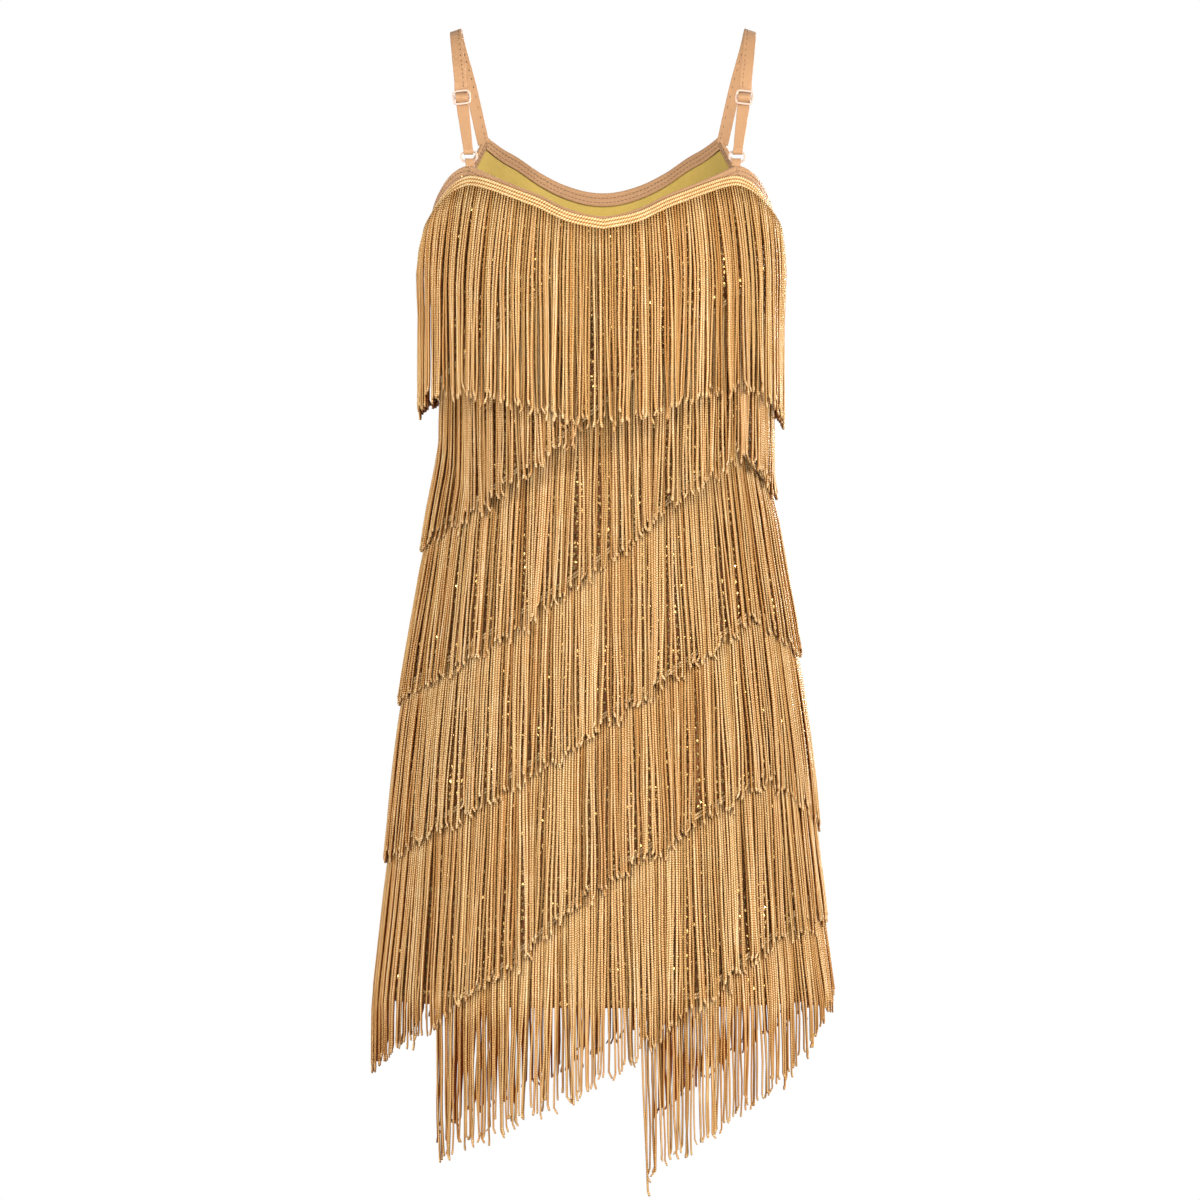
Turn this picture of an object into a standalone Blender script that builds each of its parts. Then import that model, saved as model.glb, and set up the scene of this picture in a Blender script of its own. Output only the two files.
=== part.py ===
"""A sleeveless latin dance dress with six tiers of fringe, filled out as if worn.

Metres, +Z up. The front faces -Y, and +X is the viewer's right. The origin lies midway
between the two shoulder straps, on their undersides, where the wearer's shoulders hold them.
A place on the dress is given by a turn in degrees and a height: 0 is the right side seam,
90 the back centre, 180 the left side seam and 270 the front centre.
"""
import math

import bmesh
import bpy
import numpy as np

# The cloth shell
CLOTH_WALL = 0.0015
HEM_HEIGHT = -0.800
ROUNDNESS = 2.2
SEAM_TURN = 0.08
LEVEL_COUNT = 17
LEVEL_TOP = -0.200
UPPER_ROWS = 3
# Columns of a quarter of the shell, in degrees from the side seam
COLUMNS = (0, 10, 20, 30, 40, 45, 54, 63, 72, 81, 90)

# Height, half width, front depth, back depth
SECTIONS = (
    (-0.083, 0.1360, 0.084, 0.080),
    (-0.122, 0.1390, 0.097, 0.084),
    (-0.165, 0.1415, 0.108, 0.088),
    (-0.210, 0.1420, 0.116, 0.089),
    (-0.330, 0.1310, 0.094, 0.086),
    (-0.420, 0.1440, 0.101, 0.102),
    (-0.553, 0.1635, 0.115, 0.124),
    (-0.715, 0.1780, 0.126, 0.134),
    (-0.800, 0.1860, 0.132, 0.138),
)

# Degrees from the side seam, height of the cloth's edge
FRONT_EDGE = (
    (0, -0.1580), (8, -0.1490), (18, -0.1370), (29, -0.1240), (36, -0.1195), (40, -0.1185),
    (47, -0.1245), (54, -0.1305), (63, -0.1385), (71, -0.1460), (80, -0.1570), (90, -0.1635),
)
BACK_EDGE = (
    (0, -0.1580), (12, -0.1510), (24, -0.1390), (36, -0.1120), (45, -0.0830),
    (54, -0.0935), (60, -0.0995), (70, -0.1130), (79, -0.1230), (90, -0.1290),
)
# Degrees from the side seam, height of the top of the neck fringe's header
FRONT_HEADER = (
    (0, -0.1660), (10, -0.1570), (17, -0.1500), (28, -0.1365), (36, -0.1285), (42, -0.1260),
    (47, -0.1275), (54, -0.1320), (63, -0.1395), (71, -0.1470), (80, -0.1580), (90, -0.1645),
)
BACK_HEADER = (
    (0, -0.1660), (12, -0.1610), (24, -0.1500), (34, -0.1290), (42, -0.1060), (47, -0.1000),
    (54, -0.1060), (60, -0.1110), (70, -0.1240), (79, -0.1340), (90, -0.1400),
)
FRONT_APEX = 40
BACK_CORNER = 45

# Bindings folded over the edges
TAPE = 0.0010
TAPE_GAP = 0.0003
BINDING_DEPTH = 0.0100
MITRE_TURN = 0.15

# Lining of the upper back
LINING_WALL = 0.0010
LINING_GAP = 0.0008
LINING_DROP = 0.0030
LINING_LEVELS = 3

# Fringe
HEADER_HEIGHT = 0.009
LOCK_SHARE = 0.87
TIP_WIDTH = 0.80
TIP_THICKNESS = 0.5
LENGTH_WOBBLE = 0.005
HEM_CLEARANCE = 0.012
HANG_STEPS = 12
REACH_LIMIT = 0.10
REACH_HALVINGS = 24
# Share of a lock's length down from the header, inner face's distance out from the cloth
TIER_HANG = ((0.0, 0.0010), (0.35, 0.0018), (0.75, 0.0040), (1.0, 0.0046))
NECK_HANG = ((0.0, 0.0022), (0.13, 0.0042), (0.50, 0.0074), (1.0, 0.0074))
TIER_THICKNESS = 0.0018
NECK_THICKNESS = 0.0020
LOCK_LEVELS = (0.0, 0.30, 0.68, 1.0)
NECK_LOCK_LEVELS = (0.0, 0.13, 0.50, 1.0)

# Places across the dress, as shares of its half width: left side, front centre, right front, right side
FRONT_STOPS = (-1.0, 0.0, 0.8, 1.0)
# Name, locks, and the header's top at the left, front, right front, right and back
TIER_HEADERS = (
    ("fringe_a", 19, (-0.292, -0.186, -0.120, -0.120, -0.200)),
    ("fringe_b", 38, (-0.419, -0.313, -0.219, -0.252, -0.316)),
    ("fringe_c", 40, (-0.544, -0.436, -0.343, -0.379, -0.436)),
    ("fringe_d", 42, (-0.676, -0.566, -0.480, -0.508, -0.566)),
    ("fringe_e", 33, (-0.860, -0.693, -0.608, -0.624, -0.693)),
    ("fringe_f", 20, (-0.980, -0.846, -0.738, -0.706, -0.846)),
)
# The strands' lower ends at the same places
TIER_TIPS = {
    "fringe_a": (-0.429, -0.325, -0.260, -0.260, -0.335),
    "fringe_b": (-0.554, -0.446, -0.353, -0.385, -0.446),
    "fringe_c": (-0.686, -0.576, -0.490, -0.518, -0.576),
    "fringe_d": (-0.858, -0.703, -0.618, -0.655, -0.703),
    "fringe_e": (-0.938, -0.859, -0.750, -0.735, -0.859),
    "fringe_f": (-1.030, -0.951, -0.861, -0.813, -0.951),
}
# First and last turn of the tiers that don't go all the way round
TIER_ARCS = {
    "fringe_a": (92.0, 266.0),
    "fringe_e": (-137.0, 137.0),
    "fringe_f": (-79.5, 79.5),
}
NECK_LOCKS = 40
# Degrees from the side seam, height of the neck fringe's lower ends
NECK_TIPS_LEFT = ((0, -0.318), (34, -0.308), (42, -0.306), (62, -0.315), (78, -0.326), (90, -0.334))
NECK_TIPS_RIGHT = ((0, -0.328), (20, -0.316), (38, -0.303), (52, -0.305), (75, -0.326), (90, -0.334))

# Shoulder straps: one tape each, seen on the right side
STRAP_WIDTH = 0.010
# Across, back, up, from the back corner over the shoulder to above the slider
STRAP_ROUTE = (
    (0.1023, 0.0548, -0.0805),
    (0.1110, 0.0500, -0.0420),
    (0.1195, 0.0325, -0.0110),
    (0.1220, 0.0080, 0.0000),
    (0.1215, -0.0170, -0.0060),
    (0.1190, -0.0360, -0.0290),
    (0.1172, -0.0433, -0.0460),
)
STRAP_STEPS = 3
SLIDER_CENTRE = (0.1160, -0.0475, -0.0600)
SLIDER_WIDTH = 0.0150
SLIDER_HEIGHT = 0.0130
SLIDER_BAR = 0.0018
SLIDER_SLOT = 0.0108
SLIDER_THICKNESS = 0.0016
RING_WIRE = 0.0009
RING_HALF_WIDTH = 0.0063
RING_HALF_HEIGHT = 0.0042
RING_SQUARENESS = 4.0
RING_STEPS = 16
RING_SIDES = 5
RING_ABOVE_APEX = 0.0090
LOOP_WIDTH = 0.0070
# Along the strap from the slider's centre, out from its plane: the tape through the slider
SLIDER_THREAD = (
    (-0.0090, -0.0012), (-0.0066, -0.0016), (-0.0042, -0.0016), (-0.0014, 0.0017), (0.0014, 0.0017),
    (0.0042, -0.0016), (0.0066, -0.0016), (0.0120, -0.0006),
)
# The tape's end, sewn behind the slider's middle bar
SLIDER_END = ((0.0120, -0.0032), (0.0075, -0.0035), (0.0044, -0.0032), (0.0012, -0.0020), (-0.0008, -0.0019))
# Along the strap from the ring's upper bar, out from its plane: the turn through the ring
RING_TURN = (
    (-0.0050, 0.0020), (-0.0002, 0.0020), (0.0013, 0.0014), (0.0020, 0.0),
    (0.0013, -0.0014), (-0.0002, -0.0020), (-0.0050, -0.0021),
)
# Along the strap from the ring's lower bar, out from its plane: the small fabric loop at the apex
TAB_TURN = (
    (0.0025, 0.0019), (0.0002, 0.0020), (-0.0013, 0.0014), (-0.0020, 0.0),
    (-0.0013, -0.0014), (0.0002, -0.0020), (0.0025, -0.0019),
)

# Colour, roughness, metallic
FINISHES = {
    "sequin cloth": ((0.42, 0.26, 0.07, 1.0), 0.35, 0.6),
    "lining": ((0.55, 0.38, 0.08, 1.0), 0.80, 0.0),
    "binding": ((0.66, 0.37, 0.15, 1.0), 0.60, 0.0),
    "fringe": ((0.58, 0.34, 0.10, 1.0), 0.45, 0.0),
    "clear plastic": ((0.86, 0.74, 0.70, 1.0), 0.15, 0.0),
}


def clear_scene():
    """Remove every object that is in the file."""
    for item in list(bpy.data.objects):
        bpy.data.objects.remove(item, do_unlink=True)


def finish(kind):
    """The material of one kind of piece, made once."""
    found = bpy.data.materials.get(kind)
    if found:
        return found
    colour, roughness, metallic = FINISHES[kind]
    material = bpy.data.materials.new(kind)
    material.use_nodes = True
    shader = material.node_tree.nodes["Principled BSDF"]
    shader.inputs["Base Color"].default_value = colour
    shader.inputs["Roughness"].default_value = roughness
    shader.inputs["Metallic"].default_value = metallic
    return material


def add_piece(name, points, faces, kind):
    """Make one closed object from points and faces, with its faces turned outwards."""
    mesh = bpy.data.meshes.new(name)
    mesh.from_pydata([tuple(float(value) for value in point) for point in points], [], faces)
    work = bmesh.new()
    work.from_mesh(mesh)
    bmesh.ops.recalc_face_normals(work, faces=work.faces)
    work.to_mesh(mesh)
    work.free()
    mesh.shade_smooth()
    mesh.set_sharp_from_angle(angle=math.radians(50))
    piece = bpy.data.objects.new(name, mesh)
    piece.data.materials.append(finish(kind))
    bpy.context.scene.collection.objects.link(piece)
    return piece


def smooth_column(column):
    """Values of one column of SECTIONS at LEVELS, on a curve through its rows."""
    heights = np.array([row[0] for row in SECTIONS])[::-1]
    values = np.array([row[column] for row in SECTIONS])[::-1]
    slopes = np.gradient(values, heights)
    index = np.clip(np.searchsorted(heights, LEVELS) - 1, 0, len(heights) - 2)
    span = heights[index + 1] - heights[index]
    share = (LEVELS - heights[index]) / span
    start = (1 + 2 * share) * (1 - share) ** 2 * values[index]
    end = share ** 2 * (3 - 2 * share) * values[index + 1]
    leave = share * (1 - share) ** 2 * span * slopes[index]
    arrive = share ** 2 * (share - 1) * span * slopes[index + 1]
    return start + end + leave + arrive


# Heights of the shell's rings, from the hem up, and above them the rows of SECTIONS
LEVELS = np.concatenate([
    np.linspace(HEM_HEIGHT, LEVEL_TOP, LEVEL_COUNT + 1),
    [-0.165, -0.140, -0.122, -0.083],
])
HALF_WIDTHS = smooth_column(1)
FRONT_DEPTHS = smooth_column(2)
BACK_DEPTHS = smooth_column(3)


def side_angle(turn):
    """Degrees between a turn and the nearest side seam."""
    folded = turn % 180.0
    return min(folded, 180.0 - folded)


def is_front(turn):
    """Whether a turn lies on the front panel."""
    return turn % 360.0 > 180.0


def look_up(table, place):
    """A height between the rows of a table of places and heights."""
    return float(np.interp(place, [row[0] for row in table], [row[1] for row in table]))


def edge_height(turn):
    """Height of the cloth's top edge."""
    return look_up(FRONT_EDGE if is_front(turn) else BACK_EDGE, side_angle(turn))


def section(height, front):
    """Half width and depth of the shell at a height."""
    width = np.interp(height, LEVELS, HALF_WIDTHS)
    depth = np.interp(height, LEVELS, FRONT_DEPTHS if front else BACK_DEPTHS)
    return float(width), float(depth)


def cloth_point(turn, height):
    """Point on the cloth's outer face, and the level direction straight out of it."""
    width, depth = section(height, is_front(turn))
    across = math.cos(math.radians(turn))
    back = math.sin(math.radians(turn))
    point = np.array([
        width * math.copysign(abs(across) ** (2 / ROUNDNESS), across),
        depth * math.copysign(abs(back) ** (2 / ROUNDNESS), back),
        height,
    ])
    out = np.array([
        math.copysign(abs(across) ** (2 - 2 / ROUNDNESS), across) / width,
        math.copysign(abs(back) ** (2 - 2 / ROUNDNESS), back) / depth,
        0.0,
    ])
    return point, out / np.linalg.norm(out)


def offset_point(turn, height, out):
    """Point at a distance out from the cloth's outer face, or in from it below zero."""
    point, direction = cloth_point(turn, height)
    return point + direction * out


def panel_turns(first, last, start, end):
    """Turns of the columns from first to last, with the two ends moved to start and end."""
    quarter = np.array(COLUMNS, dtype=float)
    whole = np.concatenate([quarter, 180.0 - quarter[-2::-1], 180.0 + quarter[1:], 360.0 - quarter[-2::-1]])
    whole = np.concatenate([whole - 360.0, whole[1:]])
    inside = whole[(whole > first + 0.5) & (whole < last - 0.5)]
    return np.concatenate([[start], inside, [end]])


def panel_rows(turn):
    """Heights of a panel's points at a turn: the rings, then rows up to the edge."""
    edge = edge_height(turn)
    upper = np.linspace(LEVEL_TOP, edge - BINDING_DEPTH, UPPER_ROWS + 1)[1:]
    return np.concatenate([LEVELS[:LEVEL_COUNT + 1], upper, [edge]])


def closed_wall(name, outer, inner, kind):
    """A wall between two grids of points, closed round its edges."""
    rows, columns = len(outer), len(outer[0])
    points = [point for row in outer for point in row] + [point for row in inner for point in row]
    shift = rows * columns
    faces = []
    for row in range(rows - 1):
        for column in range(columns - 1):
            corner = row * columns + column
            quad = (corner, corner + 1, corner + columns + 1, corner + columns)
            faces.append(quad)
            faces.append(tuple(index + shift for index in reversed(quad)))
    border = [column for column in range(columns)]
    border += [row * columns + columns - 1 for row in range(1, rows)]
    border += [(rows - 1) * columns + column for column in range(columns - 2, -1, -1)]
    border += [row * columns for row in range(rows - 2, 0, -1)]
    for first, second in zip(border, border[1:] + border[:1]):
        faces.append((second, first, first + shift, second + shift))
    return add_piece(name, points, faces, kind)


def build_panel(name, first, last):
    """One shell panel between two side seams."""
    outer, inner = [], []
    for turn in panel_turns(first, last, first + SEAM_TURN, last - SEAM_TURN):
        rows = panel_rows(turn)
        outer.append([offset_point(turn, height, 0.0) for height in rows])
        inner.append([offset_point(turn, height, -CLOTH_WALL) for height in rows])
    return closed_wall(name, outer, inner, "sequin cloth")


def build_lining():
    """Lining of the upper back, from under its binding down to a level edge."""
    face = -CLOTH_WALL - LINING_GAP
    outer, inner = [], []
    for turn in panel_turns(0.0, 180.0, 2.0, 178.0):
        top = edge_height(turn) - BINDING_DEPTH - LINING_DROP
        upper = np.linspace(LEVEL_TOP, top, UPPER_ROWS + 1)[1:]
        rows = np.concatenate([LEVELS[LEVEL_COUNT - LINING_LEVELS:LEVEL_COUNT + 1], upper])
        outer.append([offset_point(turn, height, face) for height in rows])
        inner.append([offset_point(turn, height, face - LINING_WALL) for height in rows])
    return closed_wall("back_lining", outer, inner, "lining")


def tube(name, rings, kind, closed=False):
    """A bar through a list of rings of points, capped at its ends or closed on itself."""
    count = len(rings[0])
    points = [point for ring in rings for point in ring]
    faces = []
    last = len(rings) if closed else len(rings) - 1
    for index in range(last):
        here = index * count
        there = ((index + 1) % len(rings)) * count
        for side in range(count):
            after = (side + 1) % count
            faces.append((here + side, here + after, there + after, there + side))
    if not closed:
        faces.append(tuple(range(count - 1, -1, -1)))
        faces.append(tuple(range(len(points) - count, len(points))))
    return add_piece(name, points, faces, kind)


def binding_ring(turn):
    """Section of a binding folded over the cloth's edge, in the upright plane at a turn."""
    edge = edge_height(turn)
    near_out, far_out = TAPE_GAP, TAPE_GAP + TAPE
    near_in, far_in = -CLOTH_WALL - TAPE_GAP, -CLOTH_WALL - TAPE_GAP - TAPE
    foot = edge - BINDING_DEPTH
    corners = (
        (far_out, foot), (far_out, edge), (far_out, edge + TAPE_GAP + TAPE), (far_in, edge + TAPE_GAP + TAPE),
        (far_in, edge), (far_in, foot), (near_in, foot), (near_in, edge), (near_in, edge + TAPE_GAP),
        (near_out, edge + TAPE_GAP), (near_out, edge), (near_out, foot),
    )
    point, direction = cloth_point(turn, edge)
    low, low_direction = cloth_point(turn, foot)
    ring = []
    for out, height in corners:
        if height < edge:
            ring.append(low + low_direction * out)
        else:
            ring.append(point + direction * out + np.array([0.0, 0.0, height - edge]))
    return ring


def build_binding(name, first, last):
    """A binding along the cloth's edge between two turns."""
    turns = panel_turns(first, last, first + MITRE_TURN, last - MITRE_TURN)
    return tube(name, [binding_ring(turn) for turn in turns], "binding")


def reach(start, direction, height):
    """Distance from a point, straight out, to the cloth's outer face at a height."""
    width, depth = section(max(height, HEM_HEIGHT), direction[1] < 0)
    low, high = -REACH_LIMIT, REACH_LIMIT
    for _ in range(REACH_HALVINGS):
        middle = (low + high) / 2
        place = start + direction * middle
        if abs(place[0] / width) ** ROUNDNESS + abs(place[1] / depth) ** ROUNDNESS < 1.0:
            low = middle
        else:
            high = middle
    return (low + high) / 2


def hang(turn, top, tip, levels, profile):
    """Points down one edge of a lock: it hangs plumb, and cloth that widens pushes it out."""
    start, direction = cloth_point(turn, top)
    length = top - tip
    drops = np.linspace(0.0, length, HANG_STEPS + 1)
    steps = [look_up(profile, drop / length) + reach(start, direction, top - drop) for drop in drops]
    pushed = np.maximum.accumulate(steps)
    points = []
    for level in levels:
        drop = level * length
        out = float(np.interp(drop, drops, pushed))
        points.append(start + direction * out - np.array([0.0, 0.0, drop]))
    return points, direction


def across_line(values, turn):
    """Height of a slanting line at a turn, straight between its five places."""
    left, front, right_front, right, back = values
    across = math.cos(math.radians(turn))
    share = math.copysign(abs(across) ** (2 / ROUNDNESS), across)
    if is_front(turn):
        return float(np.interp(share, FRONT_STOPS, (left, front, right_front, right)))
    return float(np.interp(share, (-1.0, 0.0, 1.0), (left, back, right)))


def tier_header(values, turn):
    """Height of a slanting header's top edge, kept above the hem."""
    return max(across_line(values, turn), HEM_HEIGHT + HEM_CLEARANCE)


def neck_header(turn):
    """Height of the neck header's top edge."""
    return look_up(FRONT_HEADER if is_front(turn) else BACK_HEADER, side_angle(turn))


def neck_tip(turn):
    """Height of the neck fringe's lower ends."""
    right = math.cos(math.radians(turn)) > 0
    return look_up(NECK_TIPS_RIGHT if right else NECK_TIPS_LEFT, side_angle(turn))


def even_turns(first, last, header, count):
    """Turns of the locks' two edges, at equal distances along a header."""
    turns = np.linspace(first, last, 721)
    points = np.array([cloth_point(turn, header(turn))[0] for turn in turns])
    along = np.concatenate([[0.0], np.cumsum(np.linalg.norm(np.diff(points, axis=0), axis=1))])
    pitch = along[-1] / count
    starts = np.interp(np.arange(count) * pitch, along, turns)
    ends = np.interp((np.arange(count) + LOCK_SHARE) * pitch, along, turns)
    return np.column_stack([starts, ends])


def lock_length_change(index):
    """Small uneven change of a lock's length, the same each time."""
    return LENGTH_WOBBLE * math.sin(index * 2.4) * math.cos(index * 0.9 + 0.5)


def lock_rings(first, second, header, tip, levels, profile, thickness):
    """Sections down a lock between two turns, from below its root to its narrower, thinner tip."""
    left_line, left_out = hang(first, header(first) - HEADER_HEIGHT, tip(first), levels, profile)
    right_line, right_out = hang(second, header(second) - HEADER_HEIGHT, tip(second), levels, profile)
    rings = []
    for level, left, right in list(zip(levels, left_line, right_line))[1:]:
        narrow = 1.0 - (1.0 - TIP_WIDTH) * level
        deep = thickness * (TIP_THICKNESS if level == 1.0 else 1.0)
        middle = (left + right) / 2
        left = middle + (left - middle) * narrow
        right = middle + (right - middle) * narrow
        rings.append([left, left + left_out * deep, right + right_out * deep, right])
    return rings


def build_fringe(name, edges, header, tip, levels, profile, thickness, closed):
    """One header strip with its locks hanging from it, in one closed body."""
    points, faces = [], []
    turns = edges.ravel()
    count = len(turns)
    near = profile[0][1]
    for turn in turns:
        for height in (header(turn), header(turn) - HEADER_HEIGHT):
            points.append(offset_point(turn, height, near))
            points.append(offset_point(turn, height, near + thickness))
    for span in range(count if closed else count - 1):
        after = (span + 1) % count
        here, there = span * 4, after * 4
        faces.append((here, here + 1, there + 1, there))
        faces.append((here + 1, here + 3, there + 3, there + 1))
        faces.append((here, there, there + 2, here + 2))
        if span % 2 == 1:
            faces.append((here + 2, there + 2, there + 3, here + 3))
            continue
        change = lock_length_change(span)

        def uneven_tip(turn, change=change):
            return tip(turn) + change

        upper = (here + 2, here + 3, there + 3, there + 2)
        for ring in lock_rings(turns[span], turns[after], header, uneven_tip, levels, profile, thickness):
            lower = tuple(range(len(points), len(points) + 4))
            points += ring
            for side in range(4):
                beside = (side + 1) % 4
                faces.append((upper[side], upper[beside], lower[beside], lower[side]))
            upper = lower
        faces.append(upper)
    if not closed:
        end = (count - 1) * 4
        faces.append((0, 2, 3, 1))
        faces.append((end, end + 1, end + 3, end + 2))
    return add_piece(name, points, faces, "fringe")


def build_tiers():
    """The neck fringe, and the slanting tiers below it."""
    build_fringe(
        "fringe_neck", even_turns(0.0, 360.0, neck_header, NECK_LOCKS), neck_header, neck_tip,
        NECK_LOCK_LEVELS, NECK_HANG, NECK_THICKNESS, True,
    )
    for name, count, heights in TIER_HEADERS:
        closed = name not in TIER_ARCS
        first, last = TIER_ARCS.get(name, (0.0, 360.0))

        def header(turn, heights=heights):
            return tier_header(heights, turn)

        def tip(turn, tips=TIER_TIPS[name]):
            return across_line(tips, turn)

        edges = even_turns(first, last, header, count)
        build_fringe(name, edges, header, tip, LOCK_LEVELS, TIER_HANG, TIER_THICKNESS, closed)


def curve_through(route, steps):
    """Points on a smooth curve through a route's points, with a few steps between each two."""
    route = [np.array(point) for point in route]
    padded = [2 * route[0] - route[1]] + route + [2 * route[-1] - route[-2]]
    points = []
    for index in range(1, len(padded) - 2):
        before, here, there, after = padded[index - 1:index + 3]
        for step in range(steps):
            share = step / steps
            points.append(0.5 * (
                2 * here + (there - before) * share
                + (2 * before - 5 * here + 4 * there - after) * share ** 2
                + (3 * here - before - 3 * there + after) * share ** 3
            ))
    points.append(route[-1])
    return points


def ribbon_rings(points, widths, thickness):
    """Rectangular sections along a path, their long sides level across the dress."""
    points = np.array(points)
    tangents = np.gradient(points, axis=0)
    rings = []
    for point, tangent, width in zip(points, tangents, widths):
        tangent = tangent / np.linalg.norm(tangent)
        across = np.array([1.0, 0.0, 0.0]) - tangent * tangent[0]
        across = across / np.linalg.norm(across)
        normal = np.cross(tangent, across)
        half, deep = across * width / 2, normal * thickness / 2
        rings.append([point - half - deep, point + half - deep, point + half + deep, point - half + deep])
    return rings


def mirrored(points, side):
    """Points of the right side as they are, or turned over to the left side."""
    return [np.array([point[0] * side, point[1], point[2]]) for point in points]


def strap_frame():
    """Slider's centre, the apex, and the strap's down, across and out directions there."""
    slider = np.array(SLIDER_CENTRE)
    apex_turn = 360.0 - FRONT_APEX
    apex = offset_point(apex_turn, edge_height(apex_turn), -CLOTH_WALL / 2)
    down = (apex - slider) / np.linalg.norm(apex - slider)
    across = np.array([1.0, 0.0, 0.0]) - down * down[0]
    across = across / np.linalg.norm(across)
    out = np.cross(across, down)
    if out[1] > 0:
        out = -out
    return slider, apex, down, across, out


def place(origin, down, out, rows):
    """Points from rows of a distance along a strap and a distance out from its plane."""
    return [origin + down * row[0] + out * row[1] for row in rows]


def build_strap(name, side):
    """One tape: over the shoulder, through the slider, round the ring and back to the slider."""
    slider, apex, down, _, out = strap_frame()
    upper_bar = apex - down * (RING_ABOVE_APEX + RING_HALF_HEIGHT)
    shoulder = curve_through(STRAP_ROUTE, STRAP_STEPS)
    thread = place(slider, down, out, SLIDER_THREAD)
    turn = place(upper_bar, down, out, RING_TURN)
    end = place(slider, down, out, SLIDER_END)
    points = mirrored(shoulder + thread + turn + end, side)
    widths = [STRAP_WIDTH] * (len(shoulder) + len(thread))
    widths += [LOOP_WIDTH] * len(turn) + [STRAP_WIDTH] * len(end)
    return tube(name, ribbon_rings(points, widths, TAPE), "binding")


def build_tab(name, side):
    """The fabric loop that holds a ring at the front corner."""
    _, apex, down, _, out = strap_frame()
    lower_bar = apex - down * (RING_ABOVE_APEX - RING_HALF_HEIGHT)
    points = mirrored(place(lower_bar, down, out, TAB_TURN), side)
    return tube(name, ribbon_rings(points, [LOOP_WIDTH] * len(points), TAPE), "binding")


def build_ring(name, side):
    """A strap ring of round wire, bent to a rounded rectangle."""
    _, apex, down, across, out = strap_frame()
    centre = apex - down * RING_ABOVE_APEX
    rings = []
    for step in range(RING_STEPS):
        angle = 2 * math.pi * (step + 0.5) / RING_STEPS
        level, rise = math.cos(angle), math.sin(angle)
        spread = (abs(level) ** RING_SQUARENESS + abs(rise) ** RING_SQUARENESS) ** (-1 / RING_SQUARENESS)
        wide, tall = RING_HALF_WIDTH * level * spread, RING_HALF_HEIGHT * rise * spread
        middle = centre + across * wide + down * tall
        outward = across * level + down * rise
        ring = []
        for corner in range(RING_SIDES):
            swing = 2 * math.pi * corner / RING_SIDES
            ring.append(middle + outward * RING_WIRE * math.cos(swing) + out * RING_WIRE * math.sin(swing))
        rings.append(ring)
    return tube(name, [mirrored(ring, side) for ring in rings], "clear plastic", closed=True)


def build_slider(name, side):
    """A strap slider: a flat frame with a middle bar and two slots."""
    slider, _, down, across, out = strap_frame()
    wide = (-SLIDER_WIDTH / 2, -SLIDER_SLOT / 2, SLIDER_SLOT / 2, SLIDER_WIDTH / 2)
    tall = (
        -SLIDER_HEIGHT / 2, -SLIDER_HEIGHT / 2 + SLIDER_BAR, -SLIDER_BAR / 2,
        SLIDER_BAR / 2, SLIDER_HEIGHT / 2 - SLIDER_BAR, SLIDER_HEIGHT / 2,
    )
    columns, rows = len(wide), len(tall)
    points = []
    for depth in (-SLIDER_THICKNESS / 2, SLIDER_THICKNESS / 2):
        for row in tall:
            for column in wide:
                points.append(slider + across * column + down * row + out * depth)
    shift = rows * columns
    slots = {(1, 1), (3, 1)}
    cells = {(row, column) for row in range(rows - 1) for column in range(columns - 1)} - slots
    faces = []
    for row, column in sorted(cells):
        corner = row * columns + column
        quad = (corner, corner + 1, corner + columns + 1, corner + columns)
        faces.append(quad)
        faces.append(tuple(index + shift for index in reversed(quad)))
        around = ((row - 1, column), (row, column + 1), (row + 1, column), (row, column - 1))
        for index, neighbour in enumerate(around):
            if neighbour not in cells:
                first, second = quad[index], quad[(index + 1) % 4]
                faces.append((first, first + shift, second + shift, second))
    return add_piece(name, mirrored(points, side), faces, "clear plastic")


def build_dress():
    """Every piece of the dress."""
    clear_scene()
    build_panel("front_panel", 180.0, 360.0)
    build_panel("back_panel", 0.0, 180.0)
    build_lining()
    build_binding("neck_binding_front", 180.0 + FRONT_APEX, 360.0 - FRONT_APEX)
    build_binding("neck_binding_back", BACK_CORNER, 180.0 - BACK_CORNER)
    build_binding("armhole_binding_right", -FRONT_APEX, BACK_CORNER)
    build_binding("armhole_binding_left", 180.0 - BACK_CORNER, 180.0 + FRONT_APEX)
    build_tiers()
    for word, side in (("left", -1.0), ("right", 1.0)):
        build_strap("strap_" + word, side)
        build_tab("front_tab_" + word, side)
        build_ring("ring_" + word, side)
        build_slider("slider_" + word, side)


build_dress()
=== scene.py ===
"""Looks of a sleeveless latin dance dress: sequined cloth, tape bindings, straps and tiers of fringe.

Run as a script in Blender 4.5. A place on the dress is a turn in degrees and a height in metres:
0 is the right side seam, 90 the back centre, 180 the left side seam and 270 the front centre.
"""
import math

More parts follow.
